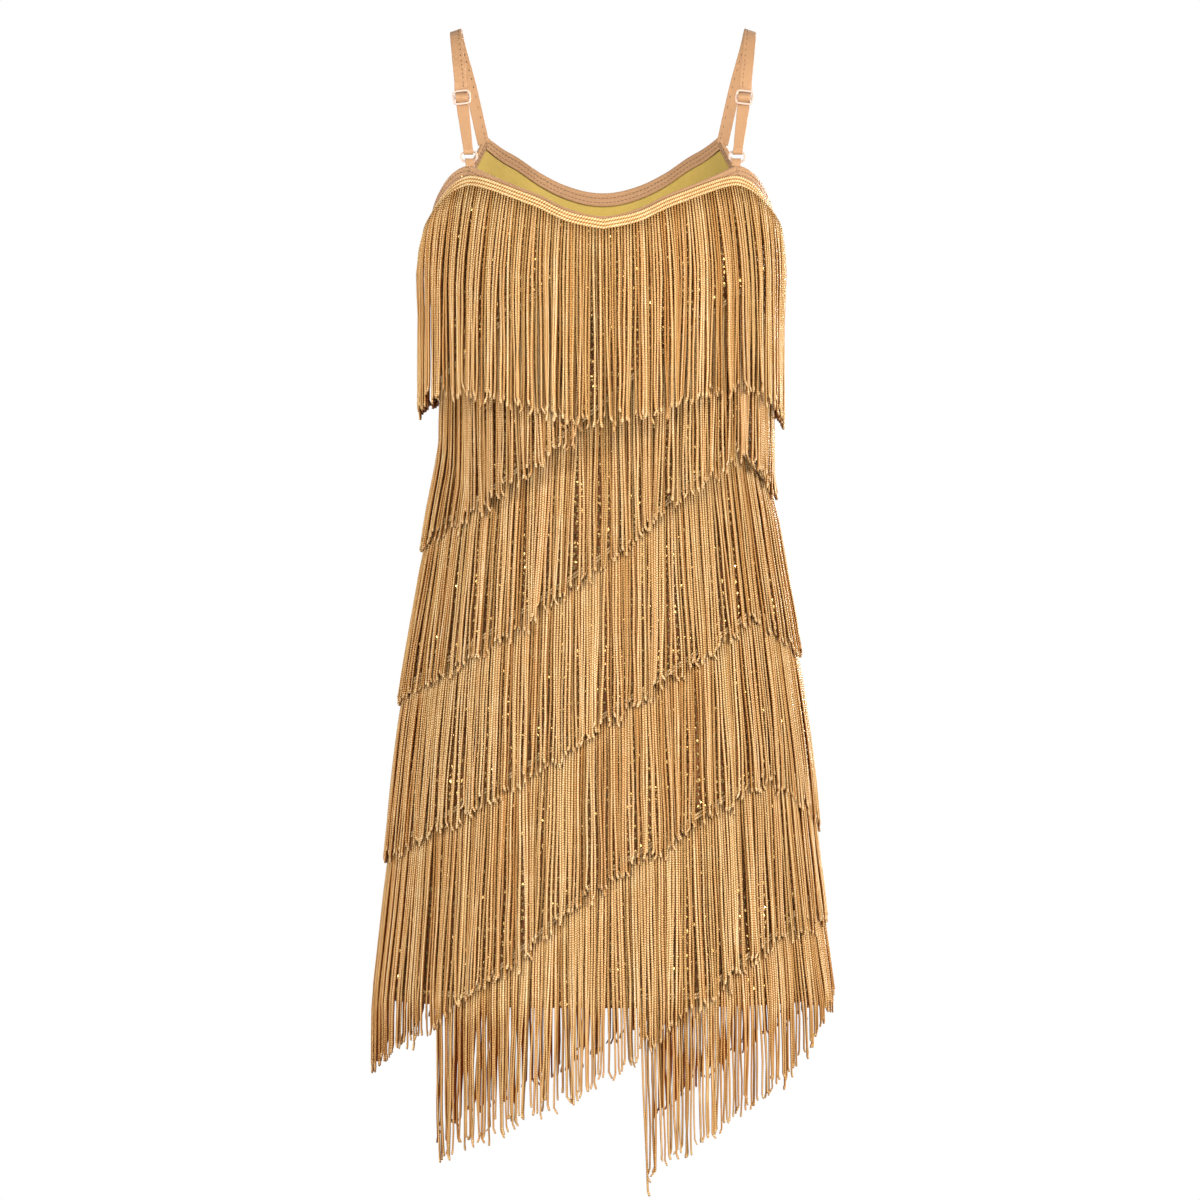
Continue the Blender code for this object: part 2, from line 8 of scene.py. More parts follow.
import bmesh
import bpy
import numpy as np
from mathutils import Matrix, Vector


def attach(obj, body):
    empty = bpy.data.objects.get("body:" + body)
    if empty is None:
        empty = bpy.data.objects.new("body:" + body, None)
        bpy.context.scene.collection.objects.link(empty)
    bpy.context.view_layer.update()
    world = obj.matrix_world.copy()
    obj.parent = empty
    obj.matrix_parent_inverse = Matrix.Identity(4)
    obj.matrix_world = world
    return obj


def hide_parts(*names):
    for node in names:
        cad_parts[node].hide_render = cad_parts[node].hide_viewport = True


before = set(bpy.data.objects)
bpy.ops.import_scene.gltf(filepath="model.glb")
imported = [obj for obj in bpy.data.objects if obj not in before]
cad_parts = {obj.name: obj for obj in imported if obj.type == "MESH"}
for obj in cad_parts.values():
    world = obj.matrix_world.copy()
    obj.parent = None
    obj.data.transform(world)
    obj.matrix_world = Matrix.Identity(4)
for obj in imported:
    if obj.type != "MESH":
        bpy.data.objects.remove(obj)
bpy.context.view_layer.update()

bl_info = {
    "name": "Latin dance dress",
    "version": (1, 0, 0),
    "blender": (4, 5, 0),
    "location": "View3D > Sidebar > Dress",
    "description": "Builds the cloth, bindings, straps and fringe of a latin dance dress",
    "category": "Add Mesh",
}

# Level sections of the cloth shell: height, half width, front depth, back depth
SECTIONS = np.array((
    (-0.083, 0.1360, 0.084, 0.080),
    (-0.122, 0.1390, 0.097, 0.084),
    (-0.165, 0.1415, 0.108, 0.088),
    (-0.210, 0.1420, 0.116, 0.089),
    (-0.330, 0.1310, 0.094, 0.086),
    (-0.420, 0.1440, 0.101, 0.102),
    (-0.553, 0.1635, 0.115, 0.124),
    (-0.715, 0.1780, 0.126, 0.134),
    (-0.800, 0.1860, 0.132, 0.138),
))[::-1]
# Power of each section's curve: 2 is an ellipse
ROUNDNESS = 2.2
HEM = -0.800
CLOTH_THICKNESS = 0.0013
LINING_THICKNESS = 0.0006
LINING_FOOT = -0.300
# Mean radius of the body, which turns degrees into metres of cloth
MEAN_RADIUS = 0.14
# Degrees from the side seams to the corners of the front and of the back, where the straps are sewn
FRONT_APEX = 40.0
BACK_CORNER = 45.0

# Degrees from the side seam, height of the cloth's edge
FRONT_EDGE = (
    (0, -0.1580), (8, -0.1490), (18, -0.1370), (29, -0.1240), (36, -0.1195), (40, -0.1185),
    (47, -0.1245), (54, -0.1305), (63, -0.1385), (71, -0.1460), (80, -0.1570), (90, -0.1635),
)
BACK_EDGE = (
    (0, -0.1580), (12, -0.1510), (24, -0.1390), (36, -0.1120), (45, -0.0830),
    (54, -0.0935), (60, -0.0995), (70, -0.1130), (79, -0.1230), (90, -0.1290),
)
# Degrees from the side seam, height of the top of the neck fringe's header
FRONT_HEADER = (
    (0, -0.1660), (10, -0.1570), (17, -0.1500), (28, -0.1365), (36, -0.1285), (42, -0.1260),
    (47, -0.1275), (54, -0.1320), (63, -0.1395), (71, -0.1470), (80, -0.1580), (90, -0.1645),
)
BACK_HEADER = (
    (0, -0.1660), (12, -0.1610), (24, -0.1500), (34, -0.1290), (42, -0.1060), (47, -0.1000),
    (54, -0.1060), (60, -0.1110), (70, -0.1240), (79, -0.1340), (90, -0.1400),
)
# Degrees from the side seam, height of the neck fringe's lower ends
NECK_TIPS_LEFT = ((0, -0.318), (34, -0.308), (42, -0.306), (62, -0.315), (78, -0.326), (90, -0.334))
NECK_TIPS_RIGHT = ((0, -0.328), (20, -0.316), (38, -0.303), (52, -0.305), (75, -0.326), (90, -0.334))

# Places across the front, as shares of the half width, where a slanting tier's heights are given
FRONT_STOPS = (-1.0, 0.0, 0.8, 1.0)
# First turn, last turn, header heights and strand ends at the left, front, right front, right and back
TIERS = {
    "a": (92.0, 266.0, (-0.292, -0.186, -0.120, -0.120, -0.200), (-0.429, -0.325, -0.260, -0.260, -0.335)),
    "b": (0.0, 360.0, (-0.419, -0.313, -0.219, -0.252, -0.316), (-0.554, -0.446, -0.353, -0.385, -0.446)),
    "c": (0.0, 360.0, (-0.544, -0.436, -0.343, -0.379, -0.436), (-0.686, -0.576, -0.490, -0.518, -0.576)),
    "d": (0.0, 360.0, (-0.676, -0.566, -0.480, -0.508, -0.566), (-0.858, -0.703, -0.618, -0.655, -0.703)),
    "e": (-134.5, 137.0, (-0.860, -0.693, -0.608, -0.624, -0.693), (-0.950, -0.858, -0.748, -0.735, -0.859)),
    "f": (-82.5, 79.5, (-0.980, -0.846, -0.738, -0.706, -0.846), (-1.030, -0.960, -0.861, -0.800, -0.951)),
}
# Tiers hang a little off the lines above: their headers up, their strands' ends down
HEADER_RAISED = 0.0030
ENDS_LOWERED = 0.0015
# Least height of a header's top above the hem
HEM_CLEARANCE = 0.012
HEADER_HEIGHT = 0.009
# Share of the neck header's height that a slanting header has, and how far down it the strands start
SLANTING_HEADER = 0.6
STRAND_ROOT = 0.75
# Rows of loops in a header's braid, and the distance between its points along it
NECK_BRAID = (3, 0.0014)
TIER_BRAID = (2, 0.0022)
# Thickness of a braid between its rows, what each row adds, and the distance between its loops
BRAID_THICKNESS = 0.0010
BRAID_RIDGE = 0.0010
BRAID_PITCH = 0.0023
# Share of a strand's length, distance out from the cloth to its centre
TIER_HANG = ((0.0, 0.0019), (0.35, 0.0027), (0.75, 0.0041), (1.0, 0.0044))
NECK_HANG = ((0.0, 0.0034), (0.13, 0.0054), (0.50, 0.0086), (1.0, 0.0086))
# The neck fringe stands out more within this angle of the side seams: its roots, and its ends on the left
FLARE_ANGLE = 34.0
FLARE_ROOTS = 0.0040
FLARE_LEFT_ENDS = 0.0028
# Below this height the strands hang free, drawn thin by their own weight
FREE_BELOW = HEM - 0.004
FREE_WIDTH = 0.80

# Shoulder strap on the right side: across, back, up, from the back corner to above the slider
STRAP_ROUTE = (
    (0.1003, 0.0560, -0.0890), (0.1023, 0.0550, -0.0805), (0.1110, 0.0500, -0.0420),
    (0.1195, 0.0325, -0.0110), (0.1220, 0.0080, 0.0002), (0.1215, -0.0170, -0.0060),
    (0.1190, -0.0360, -0.0290), (0.1172, -0.0433, -0.0460),
)
SLIDER_CENTRE = (0.1160, -0.0475, -0.0600)
RING_ABOVE_APEX = 0.0090
RING_HALF = (0.0063, 0.0042)
SLIDER_HALF = (0.0066, 0.0056)
# Powers of the two outlines: 2 is an ellipse, and more is squarer
RING_SQUARENESS = 3.2
SLIDER_SQUARENESS = 5.0
# Radius of the fittings' wire, the points round it, and the points along a bent one
WIRE = 0.0009
WIRE_SIDES = 12
WIRE_STEPS = 56
TAPE_THICKNESS = 0.0011
# Width of the tape where it is gathered round the ring, and of the tab that holds the ring
TAPE_AT_RING = 0.0078
TAB_WIDTH = 0.0072
# Along the strap, out from its plane: through the slider, round the ring, back to the slider, round the tab
SLIDER_THREAD = (
    (-0.0090, -0.0012), (-0.0066, -0.0016), (-0.0042, -0.0016), (-0.0014, 0.0017), (0.0014, 0.0017),
    (0.0042, -0.0016), (0.0066, -0.0016), (0.0120, -0.0006),
)
SLIDER_END = (
    (0.0120, -0.0032), (0.0075, -0.0035), (0.0044, -0.0032), (0.0012, -0.0020), (-0.0008, -0.0019),
)
RING_TURN = (
    (-0.0050, 0.0020), (-0.0002, 0.0020), (0.0013, 0.0014), (0.0020, 0.0),
    (0.0013, -0.0014), (-0.0002, -0.0020), (-0.0050, -0.0021),
)
TAB_TURN = (
    (0.0050, 0.0017), (0.0025, 0.0020), (0.0002, 0.0020), (-0.0013, 0.0014), (-0.0020, 0.0),
    (-0.0013, -0.0014), (0.0002, -0.0020), (0.0025, -0.0020), (0.0050, -0.0017),
)

# Camera: the photograph's frame is 0.996 m wide at the dress, seen from 4 m in front of it
CAMERA_PLACE = (-0.0025, -4.0, -0.4723)
VIEW_WIDTH = 0.996
SENSOR = 36.0
FLOOR_HEIGHT = -1.35
FLOOR_RADII = (0.2, 2.9)
DRESS_MIDDLE = (0.0, 0.0, -0.45)
# Name, place, target, width in metres, power in watts, colour
LIGHTS = (
    ("Key light", (2.75, -1.8, 0.1), DRESS_MIDDLE, 0.5, 154.0, (1.0, 0.98, 0.95)),
    ("Fill light", (-2.65, -1.75, 0.1), DRESS_MIDDLE, 0.6, 92.0, (1.0, 1.0, 1.0)),
    ("Top light", (0.1, -2.2, 1.3), DRESS_MIDDLE, 0.8, 54.0, (1.0, 1.0, 1.0)),
    ("Low light", (-0.9, -1.7, -1.2), (-0.08, 0.08, -0.88), 0.5, 14.0, (1.0, 1.0, 1.0)),
    ("Back light", (1.6, 2.6, 0.3), DRESS_MIDDLE, 1.2, 150.0, (1.0, 1.0, 1.0)),
)


def sized(text, default, words):
    """A length property in metres."""
    return bpy.props.FloatProperty(
        name=text, description=words, default=default, unit="LENGTH", precision=5
    )


def coloured(text, default, words):
    """A colour property."""
    return bpy.props.FloatVectorProperty(
        name=text, description=words, default=default, subtype="COLOR", size=3, min=0.0, max=1.0
    )


class DressSizes(bpy.types.PropertyGroup):
    """Sizes a user may change."""
    strand_pitch: sized("Strand pitch", 0.0025, "Distance between fringe strands along their header")
    strand_width: sized("Strand width", 0.0024, "Width of a fringe strand")
    strand_depth: sized("Strand depth", 0.0020, "Thickness of a fringe strand")
    stitch: sized("Chain stitch", 0.0019, "Length of one stitch of a strand's knitted chain")
    sway: sized("Sway", 0.0040, "How far locks of strands lean aside at their ends")
    uneven: sized("Uneven ends", 0.0052, "How much the strands' lengths vary")
    sequin: sized("Sequin", 0.0042, "Width of a sequin")
    sequin_pitch: sized("Sequin pitch", 0.0058, "Distance between sequins")
    tape: sized("Strap width", 0.0100, "Width of the strap tape")
    sewing: sized("Sewing stitch", 0.0033, "Distance between sewing stitches")


class DressColours(bpy.types.PropertyGroup):
    """Colours a user may change."""
    strand_light: coloured("Light strand", (0.70, 0.475, 0.165), "Lighter fringe strands")
    strand_dark: coloured("Dark strand", (0.66, 0.33, 0.066), "Darker fringe strands")
    # Colour of the painted highlight on the stitches' crests
    crest_highlight: coloured("Stitch crest", (0.80, 0.74, 0.58), "Raised parts of the chain stitches")
    # Dark red-brown: partly the cloth's own colour, partly painted shade for the gaps between strands
    cloth: coloured("Cloth", (0.20, 0.065, 0.010), "Stretch cloth under the sequins")
    sequin: coloured("Sequin", (0.80, 0.50, 0.18), "Sequins")
    lining: coloured("Lining", (0.39, 0.265, 0.038), "Lining and the cloth's inner side")
    tape: coloured("Tape", (0.36, 0.19, 0.082), "Bindings and straps")
    fitting: coloured("Strap fitting", (0.48, 0.34, 0.27), "Sliders and rings")


def signed_power(value, power):
    """A power of a number's size, with the number's own sign."""
    return np.sign(value) * np.abs(value) ** power


def unit(vectors):
    """Rows of vectors, each made one long."""
    return vectors / np.linalg.norm(vectors, axis=1)[:, None]


def level_tangent(outward):
    """Level directions along the cloth, square to its outward ones."""
    return np.stack([-outward[:, 1], outward[:, 0], np.zeros(len(outward))], axis=-1)


def hermite(knots, values, slopes, places):
    """Cubic through knots with given slopes, held level past its ends."""
    places = np.clip(places, knots[0], knots[-1])
    index = np.clip(np.searchsorted(knots, places, side="right") - 1, 0, len(knots) - 2)
    span = knots[index + 1] - knots[index]
    share = (places - knots[index]) / span
    start = (1 + 2 * share) * (1 - share) ** 2 * values[index]
    end = share ** 2 * (3 - 2 * share) * values[index + 1]
    leave = share * (1 - share) ** 2 * span * slopes[index]
    arrive = share ** 2 * (share - 1) * span * slopes[index + 1]
    return start + end + leave + arrive


def section(height):
    """Half width, front depth and back depth of the shell, on smooth curves through SECTIONS."""
    height = np.maximum(height, HEM)
    knots = SECTIONS[:, 0]
    return [hermite(knots, column, np.gradient(column, knots), height) for column in SECTIONS[:, 1:].T]


def cloth(turn, height, out=0.0):
    """Points out from the shell and its level outward directions, where |x/a|^n + |y/b|^n = 1."""
    turn, height, out = np.broadcast_arrays(np.radians(turn), height, out)
    across, back = np.cos(turn), np.sin(turn)
    half, front, rear = section(height)
    depth = np.where(back < 0, front, rear)
    x = half * signed_power(across, 2 / ROUNDNESS)
    y = depth * signed_power(back, 2 / ROUNDNESS)
    slope_x = signed_power(across, 2 - 2 / ROUNDNESS) / half
    slope_y = signed_power(back, 2 - 2 / ROUNDNESS) / depth
    length = np.hypot(slope_x, slope_y)
    outward = np.stack([slope_x / length, slope_y / length, np.zeros_like(length)], axis=-1)
    points = np.stack([x, y, height], axis=-1) + outward * out[..., None]
    return points, outward


def side_angle(turn):
    """Degrees between a turn and the nearest side seam."""
    folded = np.mod(turn, 180.0)
    return np.minimum(folded, 180.0 - folded)


def smooth_rows(rows, places, corner):
    """A curve through a table's rows, level at both ends, with a sharp corner at one row."""
    rows = np.array(rows, dtype=float)
    result = np.zeros_like(places)
    low, high = rows[rows[:, 0] <= corner], rows[rows[:, 0] >= corner]
    for part, chosen, level_end in ((low, places <= corner, 0), (high, places > corner, -1)):
        if len(part) > 1:
            slopes = np.gradient(part[:, 1], part[:, 0])
            slopes[level_end] = 0.0
            result = np.where(chosen, hermite(part[:, 0], part[:, 1], slopes, places), result)
    return result


def front_or_back(turn, front_rows, back_rows, front_corner, back_corner):
    """Heights read from the front's table or the back's."""
    places = side_angle(np.asarray(turn, dtype=float))
    front = smooth_rows(front_rows, places, front_corner)
    back = smooth_rows(back_rows, places, back_corner)
    return np.where(np.mod(turn, 360.0) > 180.0, front, back)


def edge_height(turn):
    """Height of the cloth's top edge."""
    return front_or_back(turn, FRONT_EDGE, BACK_EDGE, FRONT_APEX, BACK_CORNER)


def neck_header(turn):
    """Height of the neck header's top, without sharp corners."""
    return front_or_back(turn, FRONT_HEADER, BACK_HEADER, 90.0, 90.0)


def neck_tips(turn):
    """Height of the neck fringe's lower ends."""
    places = side_angle(np.asarray(turn, dtype=float))
    left, right = (np.interp(places, *np.array(rows).T) for rows in (NECK_TIPS_LEFT, NECK_TIPS_RIGHT))
    return np.where(np.cos(np.radians(turn)) > 0, right, left)


def slanting_line(values, turn):
    """Height of a slanting line at a turn, straight between its five places across the dress."""
    left, front, right_front, right, back = values
    share = signed_power(np.cos(np.radians(turn)), 2 / ROUNDNESS)
    in_front = np.interp(share, FRONT_STOPS, (left, front, right_front, right))
    behind = np.interp(share, (-1.0, 0.0, 1.0), (left, back, right))
    return np.where(np.mod(turn, 360.0) > 180.0, in_front, behind)


def even_turns(first, last, header, pitch, around):
    """Turns at equal distances along a header; a slanting stretch counts for part of its rise."""
    turns = np.linspace(first, last, 2881)
    along = lengths_along(cloth(turns, header(turns))[0] * np.array([1.0, 1.0, 0.6]))
    count = int(round(along[-1] / pitch))
    places = (np.arange(count) + (0.0 if around else 0.5)) * along[-1] / count
    return np.interp(places, along, turns)


def reach(start, outward, height):
    """Distance from each start, straight out, to the shell at each height, found by halving."""
    half, front, rear = section(height)
    depth = np.where(outward[:, 1:2] < 0, front, rear)
    low, high = np.full(height.shape, -0.1), np.full(height.shape, 0.1)
    for _ in range(20):
        middle = (low + high) / 2
        x = start[:, 0:1] + outward[:, 0:1] * middle
        y = start[:, 1:2] + outward[:, 1:2] * middle
        inside = np.abs(x / half) ** ROUNDNESS + np.abs(y / depth) ** ROUNDNESS < 1.0
        low, high = np.where(inside, middle, low), np.where(inside, high, middle)
    return (low + high) / 2


def grid_faces(count, rows, columns, wrap_columns=False, wrap_rows=False):
    """Quads of equal grids of points, with each corner's row and column number."""
    steps_up = np.arange(rows if wrap_rows else rows - 1)
    steps_across = np.arange(columns if wrap_columns else columns - 1)
    row, column = np.meshgrid(steps_up, steps_across, indexing="ij")
    row = np.stack([row, row, row + 1, row + 1], axis=-1).reshape(-1, 4)
    column = np.stack([column, column + 1, column + 1, column], axis=-1).reshape(-1, 4)
    quads = (row % rows) * columns + column % columns
    faces = (np.arange(count)[:, None, None] * rows * columns + quads).reshape(-1, 4)
    return faces, np.tile(row, (count, 1)), np.tile(column, (count, 1))


def new_piece(name, points, faces, materials, uv=None, marks=None, chosen=None, recalc=False):
    """A mesh object from whole arrays: faces is a list of index arrays, uv holds one pair a corner."""
    mesh = bpy.data.meshes.new(name)
    points = np.ascontiguousarray(points, dtype=np.float32).reshape(-1, 3)
    loops = np.concatenate([part.ravel() for part in faces]).astype(np.int32)
    sizes = np.concatenate([np.full(len(part), part.shape[1]) for part in faces])
    starts = np.concatenate([[0], np.cumsum(sizes)[:-1]]).astype(np.int32)
    mesh.vertices.add(len(points))
    mesh.vertices.foreach_set("co", points.ravel())
    mesh.loops.add(len(loops))
    mesh.loops.foreach_set("vertex_index", loops)
    mesh.polygons.add(len(starts))
    mesh.polygons.foreach_set("loop_start", starts)
    if chosen is not None:
        mesh.polygons.foreach_set("material_index", np.ascontiguousarray(chosen, dtype=np.int32))
    mesh.update(calc_edges=True)
    if uv is not None:
        layer = mesh.uv_layers.new(name="Cloth grain")
        layer.data.foreach_set("uv", np.ascontiguousarray(uv, dtype=np.float32).ravel())
    for label, values in (marks or {}).items():
        mark = mesh.attributes.new(label, "FLOAT", "POINT")
        mark.data.foreach_set("value", np.ascontiguousarray(values, dtype=np.float32).ravel())
    piece = bpy.data.objects.new(name, mesh)
    bpy.context.scene.collection.objects.link(piece)
    for material in materials:
        mesh.materials.append(material)
    if recalc:
        turn_outward(mesh)
    mesh.shade_smooth()
    return piece


def turn_outward(mesh):
    """Recalculate a closed mesh's normals so that they point out."""
    work = bmesh.new()
    work.from_mesh(mesh)
    bmesh.ops.recalc_face_normals(work, faces=work.faces)
    work.to_mesh(mesh)
    work.free()


def lengths_along(points):
    """Distance along a path of points, from its start."""
    return np.concatenate([[0.0], np.cumsum(np.linalg.norm(np.diff(points, axis=0), axis=1))])


def swept(name, rings, materials, around=False):
    """A closed bar through rings of points, with uv as metres along it and metres round it."""
    count, sides = rings.shape[:2]
    quads, row, column = grid_faces(1, count, sides, wrap_columns=True, wrap_rows=around)
    middle = rings.mean(axis=1)
    along = lengths_along(np.vstack([middle, middle[:1]]))
    girth = lengths_along(np.vstack([rings[0], rings[0][:1]]))
    uv = [np.stack([along[row], girth[column]], axis=-1).reshape(-1, 2)]
    faces = [quads]
    if not around:
        first, last = np.arange(sides)[None, ::-1], np.arange(sides)[None] + (count - 1) * sides
        faces += [first, last]
        uv += [np.stack([np.full(sides, along[0]), girth[:sides]], axis=-1)]
        uv += [np.stack([np.full(sides, along[count - 1]), girth[:sides]], axis=-1)]
    return new_piece(name, rings, faces, materials, uv=np.vstack(uv), recalc=True)


def settle(piece, slot, *nodes):
    """Say what a piece rides on and hide the solids that it stands for. Its slot is not used."""
    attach(piece, "root")
    if nodes:
        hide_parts(*nodes)
    return piece


# Materials

def feed(tree, node, inputs):
    """Give a node's inputs their values, or link them to the sockets given instead."""
    for key, value in inputs.items():
        if isinstance(value, bpy.types.NodeSocket):
            tree.links.new(value, node.inputs[key])
        else:
            node.inputs[key].default_value = value


def add(tree, kind, inputs=None, **settings):
    """Add a node to a tree with its settings, its input values or the sockets linked to them."""
    node = tree.nodes.new(kind)
    for key, value in settings.items():
        setattr(node, key, value)
    feed(tree, node, inputs or {})
    return node


def calc(tree, operation, first, second=0.0, third=0.0):
    """The value of a Math node."""
    return add(tree, "ShaderNodeMath", {0: first, 1: second, 2: third}, operation=operation).outputs[0]


def blend(tree, share, first, second, kind="MIX"):
    """The colour of a Mix node."""
    inputs = {0: share, 6: first, 7: second}
    return add(tree, "ShaderNodeMix", inputs, data_type="RGBA", blend_type=kind).outputs[2]


def multiplied(tree, first, second):
    """The product of two colours."""
    return blend(tree, 1.0, first, second, "MULTIPLY")


def noise(tree, place, scale, detail):
    """The value of a Noise node at a place."""
    return add(tree, "ShaderNodeTexNoise", {"Vector": place, "Scale": scale, "Detail": detail}).outputs[0]


def object_place(tree):
    """Place on the object, in metres."""
    return add(tree, "ShaderNodeTexCoord").outputs["Object"]


def cloth_grain(tree):
    """The piece's own uv, which runs with its cloth, its braid or its strands."""
    return add(tree, "ShaderNodeUVMap", uv_map="Cloth grain").outputs[0]


def attribute(tree, name):
    """A number kept on the mesh's points."""
    return add(tree, "ShaderNodeAttribute", attribute_name=name).outputs["Fac"]


def rgba(colour, factor=1.0):
    """A colour property as four values, made lighter or darker."""
    return tuple(min(1.0, part * factor) for part in colour) + (1.0,)


def new_group(name, inputs, outputs):
    """An empty shader node group with named float, vector or colour sockets."""
    group = bpy.data.node_groups.new(name, "ShaderNodeTree")
    for text, kind in inputs:
        group.interface.new_socket(name=text, in_out="INPUT", socket_type=kind)
    for text, kind in outputs:
        group.interface.new_socket(name=text, in_out="OUTPUT", socket_type=kind)
    return group, group.nodes.new("NodeGroupInput"), group.nodes.new("NodeGroupOutput")


def chain_stitch_group():
    """Slanting stitches of a knitted chain.

    Height is |sin(pi * (v / pitch + 0.6 * zigzag))|, where the zigzag rises and falls once a column of u.
    Column is |cos(pi * u * columns)|, which is 0 in the valleys between the columns.
    """
    found = bpy.data.node_groups.get("Chain stitch")
    if found:
        return found
    group, given, result = new_group(
        "Chain stitch",
        (("Vector", "NodeSocketVector"), ("Pitch", "NodeSocketFloat"), ("Columns", "NodeSocketFloat")),
        (("Height", "NodeSocketFloat"), ("Column", "NodeSocketFloat")),
    )
    parts = add(group, "ShaderNodeSeparateXYZ", {0: given.outputs["Vector"]})
    columns = calc(group, "MULTIPLY", parts.outputs[0], given.outputs["Columns"])
    zigzag = calc(group, "PINGPONG", columns, 0.5)
    steps = calc(group, "DIVIDE", parts.outputs[1], given.outputs["Pitch"])
    slanting = calc(group, "ADD", steps, calc(group, "MULTIPLY", zigzag, 0.6))
    ridge = calc(group, "PINGPONG", slanting, 0.5)
    rounded = calc(group, "SINE", calc(group, "MULTIPLY", ridge, math.pi))
    across = calc(group, "ABSOLUTE", calc(group, "COSINE", calc(group, "MULTIPLY", columns, math.pi)))
    feed(group, result, {"Height": rounded, "Column": across})
    return group


def plain_weave_group():
    """Crossing threads: Height is half the product of sine waves along u and v, plus a half.

    Tone is a fine noise on the same coordinates.
    """
    found = bpy.data.node_groups.get("Plain weave")
    if found:
        return found
    group, given, result = new_group(
        "Plain weave",
        (("Vector", "NodeSocketVector"), ("Pitch", "NodeSocketFloat")),
        (("Height", "NodeSocketFloat"), ("Tone", "NodeSocketFloat")),
    )
    parts = add(group, "ShaderNodeSeparateXYZ", {0: given.outputs["Vector"]})
    waves = []
    for axis in (0, 1):
        steps = calc(group, "DIVIDE", parts.outputs[axis], given.outputs["Pitch"])
        waves.append(calc(group, "SINE", calc(group, "MULTIPLY", steps, 2 * math.pi)))
    crossing = calc(group, "MULTIPLY", waves[0], waves[1])
    tone = noise(group, given.outputs["Vector"], 260.0, 3.0)
    feed(group, result, {"Height": calc(group, "MULTIPLY_ADD", crossing, 0.5, 0.5), "Tone": tone})
    return group


def new_material(name):
    """A material with its Principled shader, and its tree."""
    material = bpy.data.materials.new(name)
    material.use_nodes = True
    return material, material.node_tree, material.node_tree.nodes["Principled BSDF"]


def use_group(tree, group, vector, **values):
    """A node that holds a group, with its vector and its own values."""
    return add(tree, "ShaderNodeGroup", {"Vector": vector, **values}, node_tree=group)


def bump(tree, shader, height, distance, strength=1.0):
    """Feed a height to the shader's normal."""
    node = add(tree, "ShaderNodeBump", {"Strength": strength, "Distance": distance, "Height": height})
    feed(tree, shader, {"Normal": node.outputs[0]})


def fringe_material(name, colours, warmth, hollow_shade, columns, pitch):
    """Silky knitted chain in two tones, with a painted highlight on its crests, painted shade in its
    hollows, on its sides turned to the cloth and at its roots, and a faint painted highlight at its ends.
    """
    material, tree, shader = new_material(name)
    white = rgba((1.0, 1.0, 1.0))
    chain = use_group(tree, chain_stitch_group(), cloth_grain(tree), Pitch=pitch, Columns=columns)
    stitch, column = chain.outputs["Height"], calc(tree, "POWER", chain.outputs["Column"], 0.7)
    tone, along, shown = (attribute(tree, word) for word in ("tone", "along", "open"))
    place = object_place(tree)
    # Each strand has its own tone, shifted by cloudy areas of the dress
    cloudy = noise(tree, place, 9.0, 2.0)
    share = calc(tree, "ADD", calc(tree, "MULTIPLY", tone, 0.7), calc(tree, "MULTIPLY", cloudy, 0.4))
    light, dark = rgba(colours.strand_light, warmth), rgba(colours.strand_dark, warmth)
    colour = blend(tree, share, dark, light)
    # The stitches are clear in patches, and less so near the roots
    patches = noise(tree, place, 60.0, 1.0)
    clear = calc(tree, "MINIMUM", calc(tree, "MULTIPLY", calc(tree, "POWER", patches, 2.0), 4.0), 1.0)
    below = calc(tree, "MINIMUM", calc(tree, "MULTIPLY_ADD", along, 4.0, 0.3), 1.0)
    clear = calc(tree, "MULTIPLY", clear, calc(tree, "MULTIPLY", below, 0.62))
    ridge = calc(tree, "MULTIPLY_ADD", clear, calc(tree, "SUBTRACT", stitch, 1.0), 1.0)
    # Painted highlight: a cream colour on the stitch crests that face away from the cloth
    crest_highlight = calc(tree, "MULTIPLY", calc(tree, "POWER", shown, 3.0), calc(tree, "POWER", ridge, 2.0))
    colour = blend(tree, calc(tree, "MULTIPLY", crest_highlight, 0.56), colour, rgba(colours.crest_highlight))
    # Painted shade between stitches, between columns of them, and on the sides turned to the cloth
    painted_shades = ((ridge, hollow_shade), (column, (0.60, 0.36, 0.14)), (shown, (0.24, 0.070, 0.007)))
    for depth, tint in painted_shades:
        colour = multiplied(tree, colour, blend(tree, depth, rgba(tint), white))
    # Painted shade near the roots, under the header
    near_root = calc(tree, "MINIMUM", calc(tree, "MULTIPLY", along, 5.0), 1.0)
    root = calc(tree, "MULTIPLY_ADD", near_root, 0.08, 0.92)
    root_shade = add(tree, "ShaderNodeCombineColor", {0: root, 1: root, 2: root}).outputs[0]
    colour = multiplied(tree, colour, root_shade)
    # A faint painted highlight on the knotted ends
    tip = calc(tree, "MULTIPLY", calc(tree, "GREATER_THAN", along, 0.975), 0.08)
    colour = blend(tree, tip, colour, rgba((0.95, 0.78, 0.48)))
    rough = calc(tree, "MULTIPLY_ADD", ridge, -0.14, 0.56)
    feed(tree, shader, {"Base Color": colour, "Roughness": rough, "Specular IOR Level": 0.08,
                        "Specular Tint": rgba((1.0, 0.82, 0.52))})
    bump(tree, shader, stitch, 0.0008)
    return material


def cloth_material(colours):
    """Stretch cloth under the sequins: fine weave, uneven tone and a low sheen. Its dark red-brown colour is
    partly the cloth's own and partly painted shade for the gaps between strands.
    """
    material, tree, shader = new_material("Gold stretch cloth")
    weave = use_group(tree, plain_weave_group(), cloth_grain(tree), Pitch=0.0008)
    colour = blend(tree, weave.outputs["Tone"], rgba(colours.cloth, 0.75), rgba(colours.cloth, 1.25))
    rough = calc(tree, "MULTIPLY_ADD", weave.outputs["Tone"], 0.2, 0.35)
    feed(tree, shader, {"Base Color": colour, "Roughness": rough, "Metallic": 0.35})
    bump(tree, shader, weave.outputs["Height"], 0.0002)
    return material


